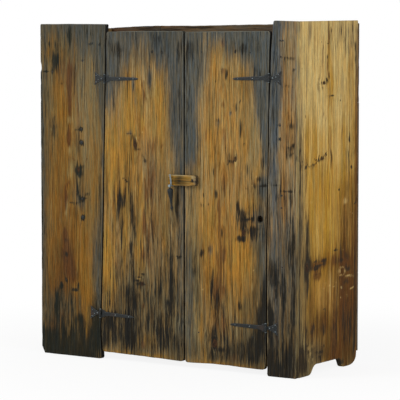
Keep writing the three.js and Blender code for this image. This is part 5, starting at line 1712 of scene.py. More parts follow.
SIDE_WEATHER: dict[Tone, Marks] = {
    Tone.GREY: [
        (30, 1150, 18, 230, 0.4), (12, 1345, 20, 26, 0.8), (8, 1200, 14, 40, 0.6), (96, 1335, 12, 40, 0.7),
        (330, 1340, 110, 40, 0.3), (400, 1270, 60, 70, 0.23), (30, 950, 22, 90, 0.6),
        (75, 1190, 10, 80, 0.4), (30, 620, 34, 200, 0.45), (203, 1008, 6, 16, 0.6), (200, 1250, 7, 60, 0.5),
        (265, 1230, 8, 90, 0.3), (455, 1200, 18, 200, 0.4), (60, 480, 14, 160, 0.24),
        (345, 1110, 12, 40, 0.3), (350, 980, 10, 120, 0.3), (420, 1060, 14, 160, 0.4),
        (255, 900, 10, 60, 0.4), (100, 1330, 12, 60, 0.35), (330, 1330, 14, 50, 0.3),
        (400, 1300, 40, 60, 0.25), (60, 780, 20, 60, 0.3),
    ],
    Tone.SOOT: [
        (207, 1131, 24, 6, 0.8), (178, 1130, 14, 6, 0.5), (232, 1142, 16, 8, 0.75, 30),
        (245, 1155, 10, 8, 0.5), (160, 1118, 7, 22, 0.45), (195, 1112, 12, 8, 0.4), (166, 1145, 6, 4, 0.5),
        (270, 1081, 26, 3.5, 0.9, 8), (247, 1077, 12, 4, 0.5), (225, 990, 9, 16, 0.5),
        (336, 1061, 6, 5, 0.8), (68, 1004, 6, 6, 0.75), (204, 1008, 4, 12, 0.6), (231, 1285, 11, 3, 0.8, 5),
        (232, 1232, 9, 12, 0.7), (202, 1268, 5, 16, 0.5), (186, 1288, 5, 3, 0.6), (264, 1336, 6, 10, 0.6),
        (248, 1325, 5, 30, 0.4), (184, 1195, 6, 4, 0.5), (44, 1247, 7, 3, 0.5), (44, 1187, 6, 3, 0.5),
        (26, 875, 13, 10, 0.75), (30, 860, 8, 8, 0.5), (36, 815, 9, 14, 0.75), (45, 832, 6, 5, 0.6),
        (70, 810, 12, 7, 1), (76, 828, 6, 4, 0.6), (100, 812, 14, 5, 0.75), (106, 828, 8, 3, 0.5),
        (118, 806, 10, 4, 0.5), (135, 816, 14, 6, 0.85), (142, 836, 14, 4, 0.7, 25),
        (160, 830, 16, 5, 0.8, 12), (168, 846, 9, 4, 0.6, -20), (190, 834, 18, 4, 0.85, 6),
        (186, 846, 6, 4, 0.5), (208, 842, 12, 4, 0.8, 25), (226, 853, 12, 5, 0.95, 25),
        (236, 862, 6, 3, 0.6, 25), (90, 795, 10, 3, 0.4), (56, 800, 8, 4, 0.5), (150, 806, 10, 3, 0.4),
        (30, 740, 8, 70, 0.7), (76, 750, 7, 60, 0.6), (130, 770, 3, 60, 0.35), (409, 905, 7, 14, 1),
        (412, 925, 4, 12, 0.5), (425, 795, 8, 8, 0.95), (403, 820, 6, 60, 0.5), (425, 850, 5, 40, 0.6),
        (265, 840, 9, 30, 0.6), (258, 870, 6, 20, 0.4), (326, 711, 10, 5, 0.95), (452, 1280, 11, 26, 0.85),
        (455, 1230, 10, 26, 0.6), (422, 1282, 5, 20, 0.6), (428, 1345, 5, 20, 0.5), (340, 1330, 6, 20, 0.4),
        (360, 1296, 10, 4, 0.4), (392, 1320, 6, 20, 0.4), (26, 330, 3, 340, 1), (26, 620, 3, 120, 0.8),
        (88, 540, 10, 100, 0.9), (80, 480, 9, 50, 0.7), (84, 425, 17, 34, 1), (106, 440, 10, 26, 0.85),
        (110, 415, 12, 12, 0.8), (86, 350, 8, 60, 0.85), (75, 620, 6, 30, 0.6), (145, 410, 28, 5, 0.9),
        (150, 422, 30, 4, 0.7), (150, 440, 26, 6, 0.7), (178, 415, 20, 4, 0.6, 12), (208, 440, 18, 9, 0.85),
        (214, 424, 14, 7, 0.8, 15), (160, 388, 26, 3, 0.5), (150, 372, 20, 3, 0.4), (302, 472, 11, 5, 1),
        (318, 472, 10, 2.5, 0.6), (288, 474, 8, 3, 0.5), (452, 649, 11, 4, 1), (462, 660, 10, 20, 0.5),
        (215, 246, 14, 4, 0.85, -8), (230, 240, 6, 3, 0.6), (133, 185, 18, 22, 0.7),
        (115, 165, 20, 14, 0.6), (80, 165, 16, 34, 0.6), (140, 145, 12, 26, 0.5), (215, 170, 18, 36, 0.7),
        (190, 190, 5, 70, 0.6), (12, 150, 14, 60, 0.6), (40, 70, 44, 60, 0.95), (75, 40, 20, 26, 0.8),
        (190, 82, 34, 7, 0.95), (180, 66, 14, 8, 0.8), (215, 103, 9, 8, 0.85), (185, 54, 8, 12, 0.8),
        (130, 70, 14, 8, 0.6), (150, 85, 14, 6, 0.6), (112, 95, 10, 10, 0.6), (345, 470, 8, 30, 0.6),
        (350, 430, 20, 8, 0.6), (400, 440, 26, 20, 0.5), (400, 390, 26, 10, 0.8), (340, 360, 10, 10, 0.6),
        (390, 340, 30, 12, 0.6), (300, 150, 30, 100, 0.4), (390, 180, 60, 100, 0.5),
        # the marks at 350, 24 here and at 345, 16 and 332, 28 below paint shade on the back foot's cut face
        # under the arch and beside it
        (460, 300, 14, 300, 0.6), (350, 24, 40, 14, 0.6), (450, 90, 16, 60, 0.7), (75, 408, 13, 40, 0.8),
        (84, 350, 7, 50, 0.7), (150, 416, 30, 5, 0.8, 4), (190, 424, 26, 4, 0.7, -8),
        (222, 440, 12, 10, 0.7), (100, 60, 10, 4, 0.7), (120, 78, 8, 4, 0.8), (96, 92, 6, 8, 0.7),
        (140, 100, 12, 5, 0.7), (112, 125, 8, 5, 0.6), (88, 118, 6, 6, 0.7), (128, 48, 12, 4, 0.6),
        (150, 64, 8, 5, 0.7), (150, 822, 8, 3, 0.8, 8), (165, 836, 9, 3, 0.8, 15),
        (178, 828, 9, 3, 0.8, 10), (192, 842, 10, 3, 0.9, 20), (204, 836, 9, 3, 0.8, 20),
        (214, 848, 10, 3, 0.9, 28), (226, 856, 9, 3, 0.9, 32), (236, 861, 6, 2.5, 0.7, 35),
        (118, 818, 8, 3, 0.7), (86, 818, 8, 3, 0.7), (98, 806, 7, 3, 0.6), (54, 822, 8, 4, 0.6),
        (40, 800, 6, 6, 0.6), (300, 474, 13, 6, 0.9), (88, 450, 12, 40, 0.8), (70, 400, 8, 40, 0.7),
        (345, 16, 22, 14, 1), (332, 28, 12, 10, 1), (88, 400, 9, 70, 0.8), (80, 420, 10, 40, 0.8),
        (150, 412, 22, 3.5, 0.8, 4), (135, 440, 14, 3.5, 0.7, -10), (205, 436, 20, 4, 0.8, 16),
        (172, 424, 14, 3, 0.7, 10), (400, 500, 4, 60, 0.5), (430, 560, 4, 60, 0.5), (375, 470, 3, 50, 0.5),
        (345, 460, 8, 6, 0.6), (45, 70, 26, 44, 0.8), (70, 110, 12, 20, 0.5), (380, 130, 6, 70, 0.4),
        (420, 150, 6, 90, 0.5), (455, 130, 8, 80, 0.5), (88, 420, 12, 50, 0.8), (84, 380, 9, 60, 0.6),
        (320, 430, 40, 22, 0.4), (395, 400, 40, 14, 0.5),
    ],
    Tone.RED: [
        (468, 1000, 12, 400, 0.9), (462, 760, 10, 160, 0.7), (242, 1300, 7, 90, 0.75),
        (238, 1195, 8, 40, 0.85), (245, 1160, 9, 16, 0.8), (240, 1080, 14, 6, 0.5),
        (300, 230, 26, 160, 0.5), (150, 425, 46, 26, 0.75), (160, 385, 34, 20, 0.7),
        (208, 436, 26, 18, 0.75), (296, 440, 26, 30, 0.7), (265, 830, 12, 44, 0.5),
        (410, 760, 14, 60, 0.35), (336, 420, 8, 90, 0.9), (350, 330, 14, 110, 0.9),
        (345, 200, 16, 200, 0.95), (375, 430, 14, 70, 0.8), (375, 230, 16, 210, 0.95),
        (405, 420, 14, 70, 0.85), (405, 240, 16, 210, 0.95), (435, 430, 14, 100, 0.85),
        (435, 220, 16, 200, 0.95), (462, 420, 12, 250, 0.95), (462, 160, 14, 160, 0.95),
        (300, 120, 26, 110, 0.8), (275, 90, 14, 90, 0.6), (300, 60, 60, 40, 0.7), (345, 580, 5, 90, 0.35),
        (372, 600, 5, 80, 0.35), (415, 600, 6, 90, 0.42), (395, 560, 6, 80, 0.42), (440, 560, 6, 90, 0.49),
        (165, 210, 6, 90, 0.6), (215, 190, 22, 60, 0.6), (130, 180, 26, 40, 0.7), (215, 600, 3, 90, 0.4),
        (250, 1010, 4, 260, 0.35), (455, 900, 6, 300, 0.5), (180, 425, 56, 20, 0.9),
        (155, 385, 30, 24, 0.8), (100, 425, 26, 26, 0.5), (290, 430, 30, 24, 0.5), (380, 420, 60, 30, 0.6),
        (340, 540, 5, 90, 0.35), (262, 470, 4, 60, 0.35), (180, 838, 60, 12, 0.35),
        (468, 1250, 8, 130, 0.6), (466, 300, 10, 300, 0.5), (165, 385, 44, 16, 0.6),
        (150, 425, 30, 10, 0.5), (200, 430, 24, 12, 0.5),
    ],
    Tone.HONEY: [
        (250, 740, 320, 210, 0.9), (240, 400, 280, 260, 1), (440, 980, 60, 240, 0.6),
        (250, 930, 300, 60, 0.4), (270, 1130, 40, 60, 0.5), (245, 1200, 14, 150, 0.8),
        (130, 280, 60, 100, 0.9), (240, 90, 22, 60, 1), (150, 240, 60, 90, 0.9), (300, 300, 40, 160, 0.9),
        (225, 60, 26, 40, 0.9), (430, 380, 50, 40, 0.5), (380, 700, 60, 60, 0.4), (460, 600, 20, 90, 0.5),
        (260, 560, 60, 110, 0.7), (430, 640, 60, 120, 0.6), (265, 1060, 30, 90, 0.5),
        (420, 1180, 60, 120, 0.4), (300, 440, 60, 50, 0.6), (290, 220, 34, 200, 0.8),
        (455, 360, 24, 26, 0.8), (425, 362, 26, 4, 0.9), (360, 384, 22, 14, 0.7), (240, 62, 26, 30, 1),
        (345, 120, 6, 110, 0.6), (395, 160, 6, 110, 0.5), (425, 60, 30, 14, 0.5), (380, 300, 6, 60, 0.5),
        (300, 300, 60, 130, 0.6), (180, 350, 60, 60, 0.5), (400, 600, 50, 120, 0.4),
        (300, 380, 70, 110, 0.6), (260, 230, 40, 120, 0.5), (380, 240, 70, 160, 0.5),
        (470, 700, 8, 60, 0.5), (345, 600, 30, 60, 0.6), (440, 520, 20, 60, 0.6),
    ],
    Tone.OLIVE: [
        (330, 860, 120, 120, 0.36), (60, 1200, 50, 90, 0.3), (380, 1290, 90, 70, 0.42),
        (420, 900, 40, 160, 0.36), (60, 560, 40, 160, 0.36), (430, 30, 40, 26, 0.48),
        (100, 90, 30, 50, 0.36), (120, 1300, 50, 60, 0.3), (150, 760, 60, 80, 0.35),
        (420, 1330, 40, 40, 0.3),
    ],
    Tone.RUDDY: [
        (400, 600, 90, 110, 0.48), (250, 300, 200, 130, 0.6), (290, 1000, 40, 100, 0.18),
        (180, 280, 90, 90, 0.5), (420, 760, 50, 80, 0.3), (50, 450, 40, 160, 0.4), (390, 620, 70, 90, 0.5),
        (300, 230, 40, 110, 0.7), (290, 200, 40, 200, 0.7), (380, 520, 60, 90, 0.5),
        (240, 330, 60, 90, 0.4),
    ],
    Tone.PALE: [
        (257, 560, 12, 110, 0.33), (170, 640, 60, 120, 0.3), (103, 1200, 4, 130, 0.6, 8),
        (375, 662, 26, 15, 0.7), (357, 398, 18, 3, 0.56), (357, 370, 18, 3, 0.56), (340, 385, 3, 12, 0.8),
        (373, 385, 3, 12, 0.8), (330, 388, 16, 12, 0.3), (400, 362, 34, 3, 0.66, -2),
        (440, 356, 26, 3, 0.66, -3), (432, 312, 30, 3, 0.66, -2), (210, 347, 44, 2, 0.56, -7),
        (290, 330, 46, 2, 0.56, -9), (345, 482, 10, 3, 0.56, -25), (362, 470, 8, 3, 0.49, -30),
        (430, 612, 22, 2.5, 0.49, 20), (352, 322, 8, 6, 0.7), (312, 330, 5, 130, 0.5),
        (262, 330, 8, 150, 0.6), (110, 85, 12, 16, 0.6), (95, 108, 8, 14, 0.7), (122, 112, 8, 8, 0.8),
        (98, 62, 6, 8, 0.8), (130, 60, 8, 6, 0.7), (98, 385, 9, 16, 0.4), (110, 672, 16, 6, 0.5),
        (448, 1322, 18, 2.5, 0.56, -25), (256, 1210, 4, 110, 0.6), (345, 256, 8, 3, 0.42),
        (392, 288, 12, 3, 0.42, 30), (345, 280, 6, 4, 0.6), (428, 268, 8, 3, 0.28), (212, 300, 4, 80, 0.4),
        (412, 361, 42, 4, 0.9, -3), (435, 311, 26, 3.5, 0.8, -3), (352, 402, 28, 3, 0.6),
        (331, 386, 5, 14, 0.6), (379, 386, 5, 12, 0.7), (350, 369, 24, 3.5, 0.7),
        (255, 336, 80, 1.6, 0.5, -9), (350, 318, 8, 6, 0.6), (390, 284, 14, 3, 0.5, 30),
        (344, 280, 6, 4, 0.5),
    ],
    Tone.UMBER: [
        (20, 560, 40, 200, 0.54), (40, 80, 60, 130, 0.72), (80, 470, 40, 70, 0.48), (22, 870, 30, 90, 0.45),
        (160, 60, 90, 50, 0.6), (18, 300, 26, 200, 0.38), (75, 200, 50, 60, 0.4), (88, 540, 20, 90, 0.4),
        (30, 420, 50, 140, 0.38), (60, 330, 60, 120, 0.28), (20, 30, 60, 60, 0.64), (75, 410, 17, 60, 0.8),
        (82, 360, 10, 60, 0.72), (86, 500, 10, 90, 0.72), (20, 200, 26, 160, 0.32), (45, 60, 50, 70, 0.64),
        (20, 480, 20, 160, 0.32), (20, 800, 26, 160, 0.35), (24, 1000, 22, 160, 0.2),
        (60, 620, 20, 60, 0.16), (90, 18, 30, 40, 0.8), (140, 95, 60, 50, 0.5), (30, 700, 30, 120, 0.24),
    ],
    Tone.BURNT: [
        (420, 280, 130, 250, 0.95), (460, 560, 70, 200, 0.54), (320, 130, 120, 160, 0.43),
        (180, 430, 90, 50, 0.5), (300, 430, 60, 70, 0.36), (370, 560, 50, 80, 0.18),
        (140, 170, 70, 60, 0.7), (215, 180, 60, 60, 0.6), (200, 70, 90, 50, 0.7), (472, 950, 16, 420, 0.36),
        (410, 720, 60, 70, 0.21), (300, 350, 40, 60, 0.18), (410, 50, 130, 80, 0.72),
        (110, 330, 60, 120, 0.35), (110, 260, 50, 60, 0.3), (160, 110, 60, 60, 0.5),
        (400, 420, 60, 30, 0.5), (470, 1300, 6, 90, 0.4),
    ],
    Tone.CHAR: [
        (50, 520, 50, 180, 0.8), (50, 90, 60, 110, 0.9), (400, 300, 120, 240, 0.5), (160, 420, 90, 50, 0.7),
        (220, 140, 160, 110, 0.6), (70, 820, 90, 36, 0.7), (340, 1310, 130, 70, 0.42),
        (30, 920, 30, 90, 0.6), (220, 1140, 60, 30, 0.3), (400, 1200, 90, 120, 0.27),
        (400, 850, 60, 120, 0.5), (100, 90, 60, 50, 0.8),
    ],
}

BAR_WEATHER: dict[Tone, Marks] = {
    Tone.SOOT: [
        (24, 54, 16, 12, 0.45), (21, 115, 9, 9, 0.75), (42, 110, 4, 24, 0.6), (22, 133, 22, 3, 0.6),
    ],
    Tone.UMBER: [(24, 56, 34, 24, 0.85), (30, 84, 16, 22, 0.5)],
    Tone.GREY: [(20, 130, 26, 9, 0.5)],
    Tone.PALE: [(2, 66, 3.5, 68, 0.7), (8, 119, 9, 9, 0.75), (22, 123, 16, 3.5, 0.6), (6, 3, 8, 5, 0.6)],
    Tone.HONEY: [(20, 24, 20, 22, 0.9), (12, 90, 8, 26, 0.5)],
}


# ---- case and doors


def bend(points: list[tuple[float, float]], steps: int = 12) -> Curve:
    """Points along a Bezier curve.

    Args:
        points: its control points.
        steps: how many parts it is cut into.

    Returns:
        The points, both ends included.
    """
    made = []
    for t in np.linspace(0, 1, steps + 1):
        row = [np.array(p, float) for p in points]
        while len(row) > 1:
            row = [p * (1 - t) + q * t for p, q in zip(row, row[1:])]
        made.append((float(row[0][0]), float(row[0][1])))
    return made


def turned_over(curve: Curve) -> Curve:
    """A curve seen from the other side: its places run the other way."""
    return [(-p, q) for p, q in reversed(curve)]


def turned_over_marks(weather: dict[Tone, Marks]) -> dict[Tone, Marks]:
    """A board's weathering on its mirror image.

    Args:
        weather: the board's marks.

    Returns:
        The mirror image's marks.
    """
    return {
        tone: [(-mark[0], *mark[1:5], *(-lean for lean in mark[5:])) for mark in marks]
        for tone, marks in weather.items()}


@dataclass
class Case:
    """The carcass: side boards with feet, two stiles, shelves on cleats, front rails and back boards."""

    front: float = 24.3
    back: float = 473.7
    arch_rise: float = 38.0
    heel: tuple[float, float] = (70.0, 46.0)
    back_top: Curve = field(default_factory=lambda: [
        (0, 1359.5), (60, 1361.5), (130, 1364), (250, 1366.6), (290, 1366), (450, 1364.3), (700, 1366),
        (WIDTH, 1366)])
    body: str = "carcass"

    def lower_edge(self) -> Curve:
        """The side boards' lower edge from the front foot over the arch to the worn heel.

        Returns:
            Places from front to back, with their heights.
        """
        r, heel_run, heel_rise = self.arch_rise, *self.heel
        start = self.back - heel_run
        arch_in = bend([(92, 0), (134, 0), (116, r), (166, r)])
        arch_out = bend([(329.7, r), (350.7, r), (350.7, 0), (371.7, 0)])
        heel = bend([(start, 0), (self.back, 0), (self.back, heel_rise)])
        return [(self.front, 0), *arch_in, *arch_out, *heel]

    def sides(self, right: bpy.types.Material, left: bpy.types.Material) -> None:
        """The two side boards.

        Args:
            right: the right board's wood.
            left: the left board's wood.
        """
        edge = self.lower_edge()
        knots = [(208, 1131, 16, 7), (195, 838, 12, 5), (84, 420, 13, 24), (150, 414, 10, 5)]
        Board(
            "side_right_board", self.body, "side_right", X, Z, at_case(WIDTH, 0, 0), [(0, self.front)],
            [(0, self.back)], edge, [(self.front, 1366), (self.back, 1378)], SIDE_T, weather=SIDE_WEATHER,
            knots=knots, seed=11, wear=0.9, splits=[(118, 0, 60, 3), (430, 1180, 1376, 3)]).build(right)
        Board(
            "side_left_board", self.body, "side_left", -X, Z, CASE, [(0, -self.back)],
            [(0, -self.front)], turned_over(edge), [(-self.back, 1359), (-self.front, 1369)], SIDE_T,
            weather=turned_over_marks(SIDE_WEATHER), seed=17, wear=1.1, step=(6, 9),
            knots=[(-a, b, w, h) for a, b, w, h in knots], splits=[(-300, 900, 1362, 4)]).build(left)

    def stiles(self, left: bpy.types.Material, right: bpy.types.Material) -> list[Board]:
        """The two stiles.

        Args:
            left: the left stile's wood.
            right: the right stile's wood.

        Returns:
            The left stile and the right one, already built.
        """
        outer: Curve = [(0, 14), (28, 0), (1174, 0), (1184, 5), (1207, 3), (1216, 0)]
        wide = Board(
            "stile_left_board", self.body, "stile_left", -Y, Z, CASE, outer, LEFT_STILE_EDGE, [(0, 0)],
            [(0, 1369), (150, 1368.4), (335, 1365)], STILE_T, rounds=(2, 9, 2, 4),
            weather=LEFT_STILE_WEATHER, knots=[(196, 771, 9, 16), (214, 652, 6, 6)],
            splits=[(172, 1080, 1364, 3), (128, 20, 210, 3)], seed=23, wear=0.8)
        narrow = Board(
            "stile_right_board", self.body, "stile_right", -Y, Z, CASE, RIGHT_STILE_EDGE, [(0, WIDTH)],
            [(0, 0)], [(1131, 1370), (WIDTH, 1366)], STILE_T, rounds=(9, 2, 2, 9),
            weather=RIGHT_STILE_WEATHER, splits=[(1197, 30, 160, 3), (1188, 560, 700, 2)], seed=29,
            wear=0.8)
        wide.build(left)
        narrow.build(right)
        return [wide, narrow]

    def scuffed(self, node: str, face: Vector, seed: int, wood: bpy.types.Material, **more: object) -> None:
        """Builds a board that runs across the case, stained and scuffed all over."""
        marks = scuffs(node, X, face, seed)
        box_board(node, self.body, X, face, seed=seed, weather=marks, **more).build(wood)

    def inside(
        self, across: bpy.types.Material, level: bpy.types.Material, deep: bpy.types.Material,
    ) -> None:
        """Shelves, their cleats and the front rails.

        Args:
            across: the rails' wood.
            level: the shelves' wood.
            deep: the cleats' wood.
        """
        shelves = ("bottom_board", "shelf_lower", "shelf_middle", "shelf_upper", "top_board")
        for index, shelf in enumerate(shelves):
            self.scuffed(shelf, Z, 40 + index, level)
            for end, face in (("left", X), ("right", -X)):
                box_board(f"{shelf}_cleat_{end}", self.body, Y, face, seed=50 + index).build(deep)
        for index, rail in enumerate(("rail_lower", "rail_upper")):
            self.scuffed(rail, -Y, 60 + index, across)

    def back_wall(self, across: bpy.types.Material) -> None:
        """The boards nailed across the back; the top row is two lengths and shows above the doors.

        Args:
            across: the boards' wood.
        """
        thin = dict(grow=1.7, step=(9, 22), rounds=(0.4, 0.4, 0.4, 0.4), arris=0.5, wear=0.3)
        for row in (1, 2, 3):
            self.scuffed(f"back_board_{row}", Y, 70 + row, across, **thin)
        ragged = [(x - WIDTH / 2, -z - 1) for x, z in self.back_top]
        for index, (end, first) in enumerate((("left", 12), ("right", 2))):
            long = dict(step=(7, 14), left=ragged, rounds=(first, 2, 2, 2))
            self.scuffed(f"back_board_top_{end}", -Y, 80 + index, across, **long)


def scuffs(node: str, grain: Vector, face: Vector, seed: int) -> dict[Tone, Marks]:
    """Stains and scuffs strewn over an inner board.

    Args:
        node: the CAD node of the board.
        grain: the direction of its length.
        face: out of its better side.
        seed: which of the many strewings.

    Returns:
        Marks for the board.
    """
    many = 9  # of each tone
    dice = np.random.default_rng(seed)
    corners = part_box(node)
    spans = [sorted(corner.dot(axis) / MM for corner in corners) for axis in (grain.cross(face), grain)]
    sizes = ((5, 40), (40, 220), (0.3, 0.8))  # half width, half length, amount
    return {
        tone: [tuple(float(dice.uniform(*span)) for span in (*spans, *sizes)) for _ in range(many)]
        for tone in (Tone.GREY, Tone.SOOT, Tone.RED, Tone.HONEY)}


@dataclass
class Door:
    """A plank door with two battens behind it."""

    side: str
    left: Curve
    right: Curve
    foot: Curve
    top: Curve
    weather: dict[Tone, Marks]
    knots: Marks
    splits: Marks
    holes: Marks
    seed: int

    def build(self, pine: bpy.types.Material, inner: bpy.types.Material) -> Board:
        """Makes the plank and its battens.

        Args:
            pine: the plank's wood.
            inner: the battens' wood.

        Returns:
            The plank.
        """
        body = f"{self.side}_door"
        plank = Board(
            f"door_{self.side}_board", body, f"door_{self.side}_plank", -Y, Z, CASE, self.left, self.right,
            self.foot, self.top, DOOR_T, arris=1.1, rounds=(14, 14, 8, 8), weather=self.weather,
            knots=self.knots, splits=self.splits, holes=self.holes, seed=self.seed)
        plank.build(pine)
        for index, batten in enumerate(("upper", "lower")):
            node = f"door_{self.side}_batten_{batten}"
            box_board(node, body, X, Y, seed=self.seed + index, arris=3, step=(6, 16)).build(inner)
        return plank


# ---- latch and pull


@dataclass
class Latch:
    """The whittled bar on its nail, the iron catch it drops into, and the pull on the catch's peg."""

    left: float = 655.0
    long: float = 133.0
    up: float = 726.1
    tall: float = 42.0
    front: float = -18.5
    thick: float = 18.0
    nail: tuple[float, float] = (770.0, 747.1)
    catch_x: float = 672.0
    seat: float = 723.631
    outside: float = -21.5  # the middle of the strip where it stands in front of the bar
    eye_y: float = -29.5
    drop_long: float = 108.0
    lean: float = 9.0  # how far the drop leans back, in degrees
    drop_wide: float = 25.0

    def bar(self, wood: bpy.types.Material) -> None:
        """The bar, dished round its nail, its underside bowed and its upper right corner worn away.

        Args:
            wood: its finish.
        """
        share = np.linspace(0, 1, 15)
        under = [(self.long * s, self.tall + 6 * s * (1 - s)) for s in share]
        upper = [(self.long * s, 0.5 * math.sin(s * 9) ** 2) for s in share]
        corner = at_case(self.left, self.front, self.up + self.tall)
        round_nail = (self.tall / 2, self.nail[0] - self.left, 6.5, 2.8)
        Board(
            "latch_bar_wood", "latch", "latch_bar", -Y, X, corner, upper, under, [(0, 0)], [(0, self.long)],
            self.thick, step=(1.6, 2.2), rounds=(3, 2, 9, 9), arris=2.4, slot="latch_pine", seed=91,
            wear=0.8, dents=[round_nail], weather=BAR_WEATHER).build(wood)

    def pivot(self, iron: bpy.types.Material) -> None:
        """The nail the bar turns on.

        Args:
            iron: its finish.
        """
        head = -(self.front + 3 - 0.3 - 1.5)
        end = DOOR_T - 1.5
        profile = [
            (0, head), (2.4, head - 0.1), (4.2, head - 0.8), (4.5, head - 1.4), (2.5, head - 1.6),
            (2.5, 4 - end), (0.6, -end), (0, -end)]
        obj = hammered(turned(profile, at_case(self.nail[0], 0, self.nail[1]), -Y, 20), 0.25, 2.5, 7, 0.2)
        settle(obj, "latch_nail_iron", "right_door", iron, ("latch_nail",))

    def catch(self, iron: bpy.types.Material) -> None:
        """The strip that comes through the door and stands up in front of the bar, with its peg.

        Args:
            iron: its finish.
        """
        o = self.outside
        path = [
            (22.8, -14), (22.8, -1.2), (21.6, 0), (o + 1.4, 0), (o + 0.4, 0.4), (o, 1.4), (o, 8), (o, 14),
            (o - 1.2, 20), (o - 3.2, 29), (o - 5.4, 38), (o - 7, 46)]
        wide = np.interp(range(len(path)), [0, 2, 8, 10, 11], [5, 7, 7, 6.4, 5])
        strip = self.swept([at_case(self.catch_x, y, self.seat + z) for y, z in path], wide, 3.0)
        hammered(strip, 0.3, 4, 3, 0.85)
        r, end, start = 5.5, -(self.eye_y - 3.5), -o
        profile = [
            (0, start), (2.5, start), (2.5, end), (r - 0.6, end), (r, end + 0.8), (r - 0.8, end + 1.7),
            (r - 2.6, end + 2.4), (0, end + 2.5)]
        peg = hammered(turned(profile, at_case(self.catch_x, 0, self.seat), -Y, 20), 0.3, 3, 5, 0.95)
        settle(joined([strip, peg]), "latch_catch_iron", "left_door", iron, ("latch_catch",))

    @staticmethod
    def swept(path: list[Vector], wide: np.ndarray, thick: float) -> bpy.types.Object:
        """A flat strip with rounded edges along a path in an upright plane that looks along X.

        Args:
            path: the strip's middle line.
            wide: its width at each point, in millimetres.
            thick: its thickness in millimetres.

        Returns:
            A closed mesh.
        """
        half = [(0.5, 0.22), (0.42, 0.46), (0, 0.5), (-0.42, 0.46), (-0.5, 0.22)]
        ring = half + [(-s, -t) for s, t in half]
        last = len(path) - 1
        bare_selection()
        bpy.ops.mesh.primitive_grid_add(x_subdivisions=len(ring), y_subdivisions=last, size=1)
        obj = bpy.context.object
        placed = []
        for column, row in zip(grid_column(obj, 0, len(ring)) % len(ring), grid_column(obj, 1, last)):
            ahead = (path[min(row + 1, last)] - path[max(row - 1, 0)]).normalized()
            outward = ahead.cross(X).normalized()
            s, t = ring[column]
            placed.append(path[row] + (X * s * float(wide[row]) + outward * t * thick) * MM)
        put_points(obj, np.array(placed))
        with editing(obj):
            bpy.ops.mesh.remove_doubles(threshold=MERGE)
            bpy.ops.mesh.select_all(action="DESELECT")
            bpy.ops.mesh.select_non_manifold()
            bpy.ops.mesh.fill_holes(sides=0)
            face_outwards()
        return obj

    def drop(self, iron: bpy.types.Material) -> None:
        """The turned drop with its eye.

        Args:
            iron: its finish.
        """
        shares = [0.24, 0.3, 0.78, 1, 0.86, 0.5, 0.3, 0.26, 0.44, 0.48, 0.3, 0.12, 0.03]
        downs = [0.055, 0.075, 0.12, 0.17, 0.27, 0.48, 0.68, 0.765, 0.8, 0.83, 0.88, 0.95, 1]
        spans = ((0.055, 0.17, 9), (0.19, 0.76, 16), (0.775, 1, 12))
        down = np.concatenate([np.linspace(*span) for span in spans])
        radii = [0.0, *(np.interp(down, downs, shares) * self.drop_wide / 2), 0.0]
        outline = [(float(r), float(d) * self.drop_long) for r, d in zip(radii, (down[0], *down, 1.0))]
        peg = at_case(self.catch_x, self.eye_y, self.seat)
        back = math.radians(self.lean)
        down_line = Y * math.sin(back) - Z * math.cos(back)
        tear = hammered(turned(outline, peg, down_line, 28), 0.35, 6, 9, 0.1)
        bare_selection()
        bpy.ops.mesh.primitive_torus_add(
            major_segments=28, minor_segments=12, major_radius=4.9 * MM, minor_radius=2.1 * MM,
            location=peg, rotation=(math.pi / 2, 0, 0))
        eye = bpy.context.object
        bpy.ops.object.transform_apply(location=True, rotation=True, scale=True)
        hammered(eye, 0.25, 3, 4, 0.7)
        settle(joined([tear, eye]), "drop_pull_iron", "pull", iron, ("drop_pull",))


# ---- surroundings


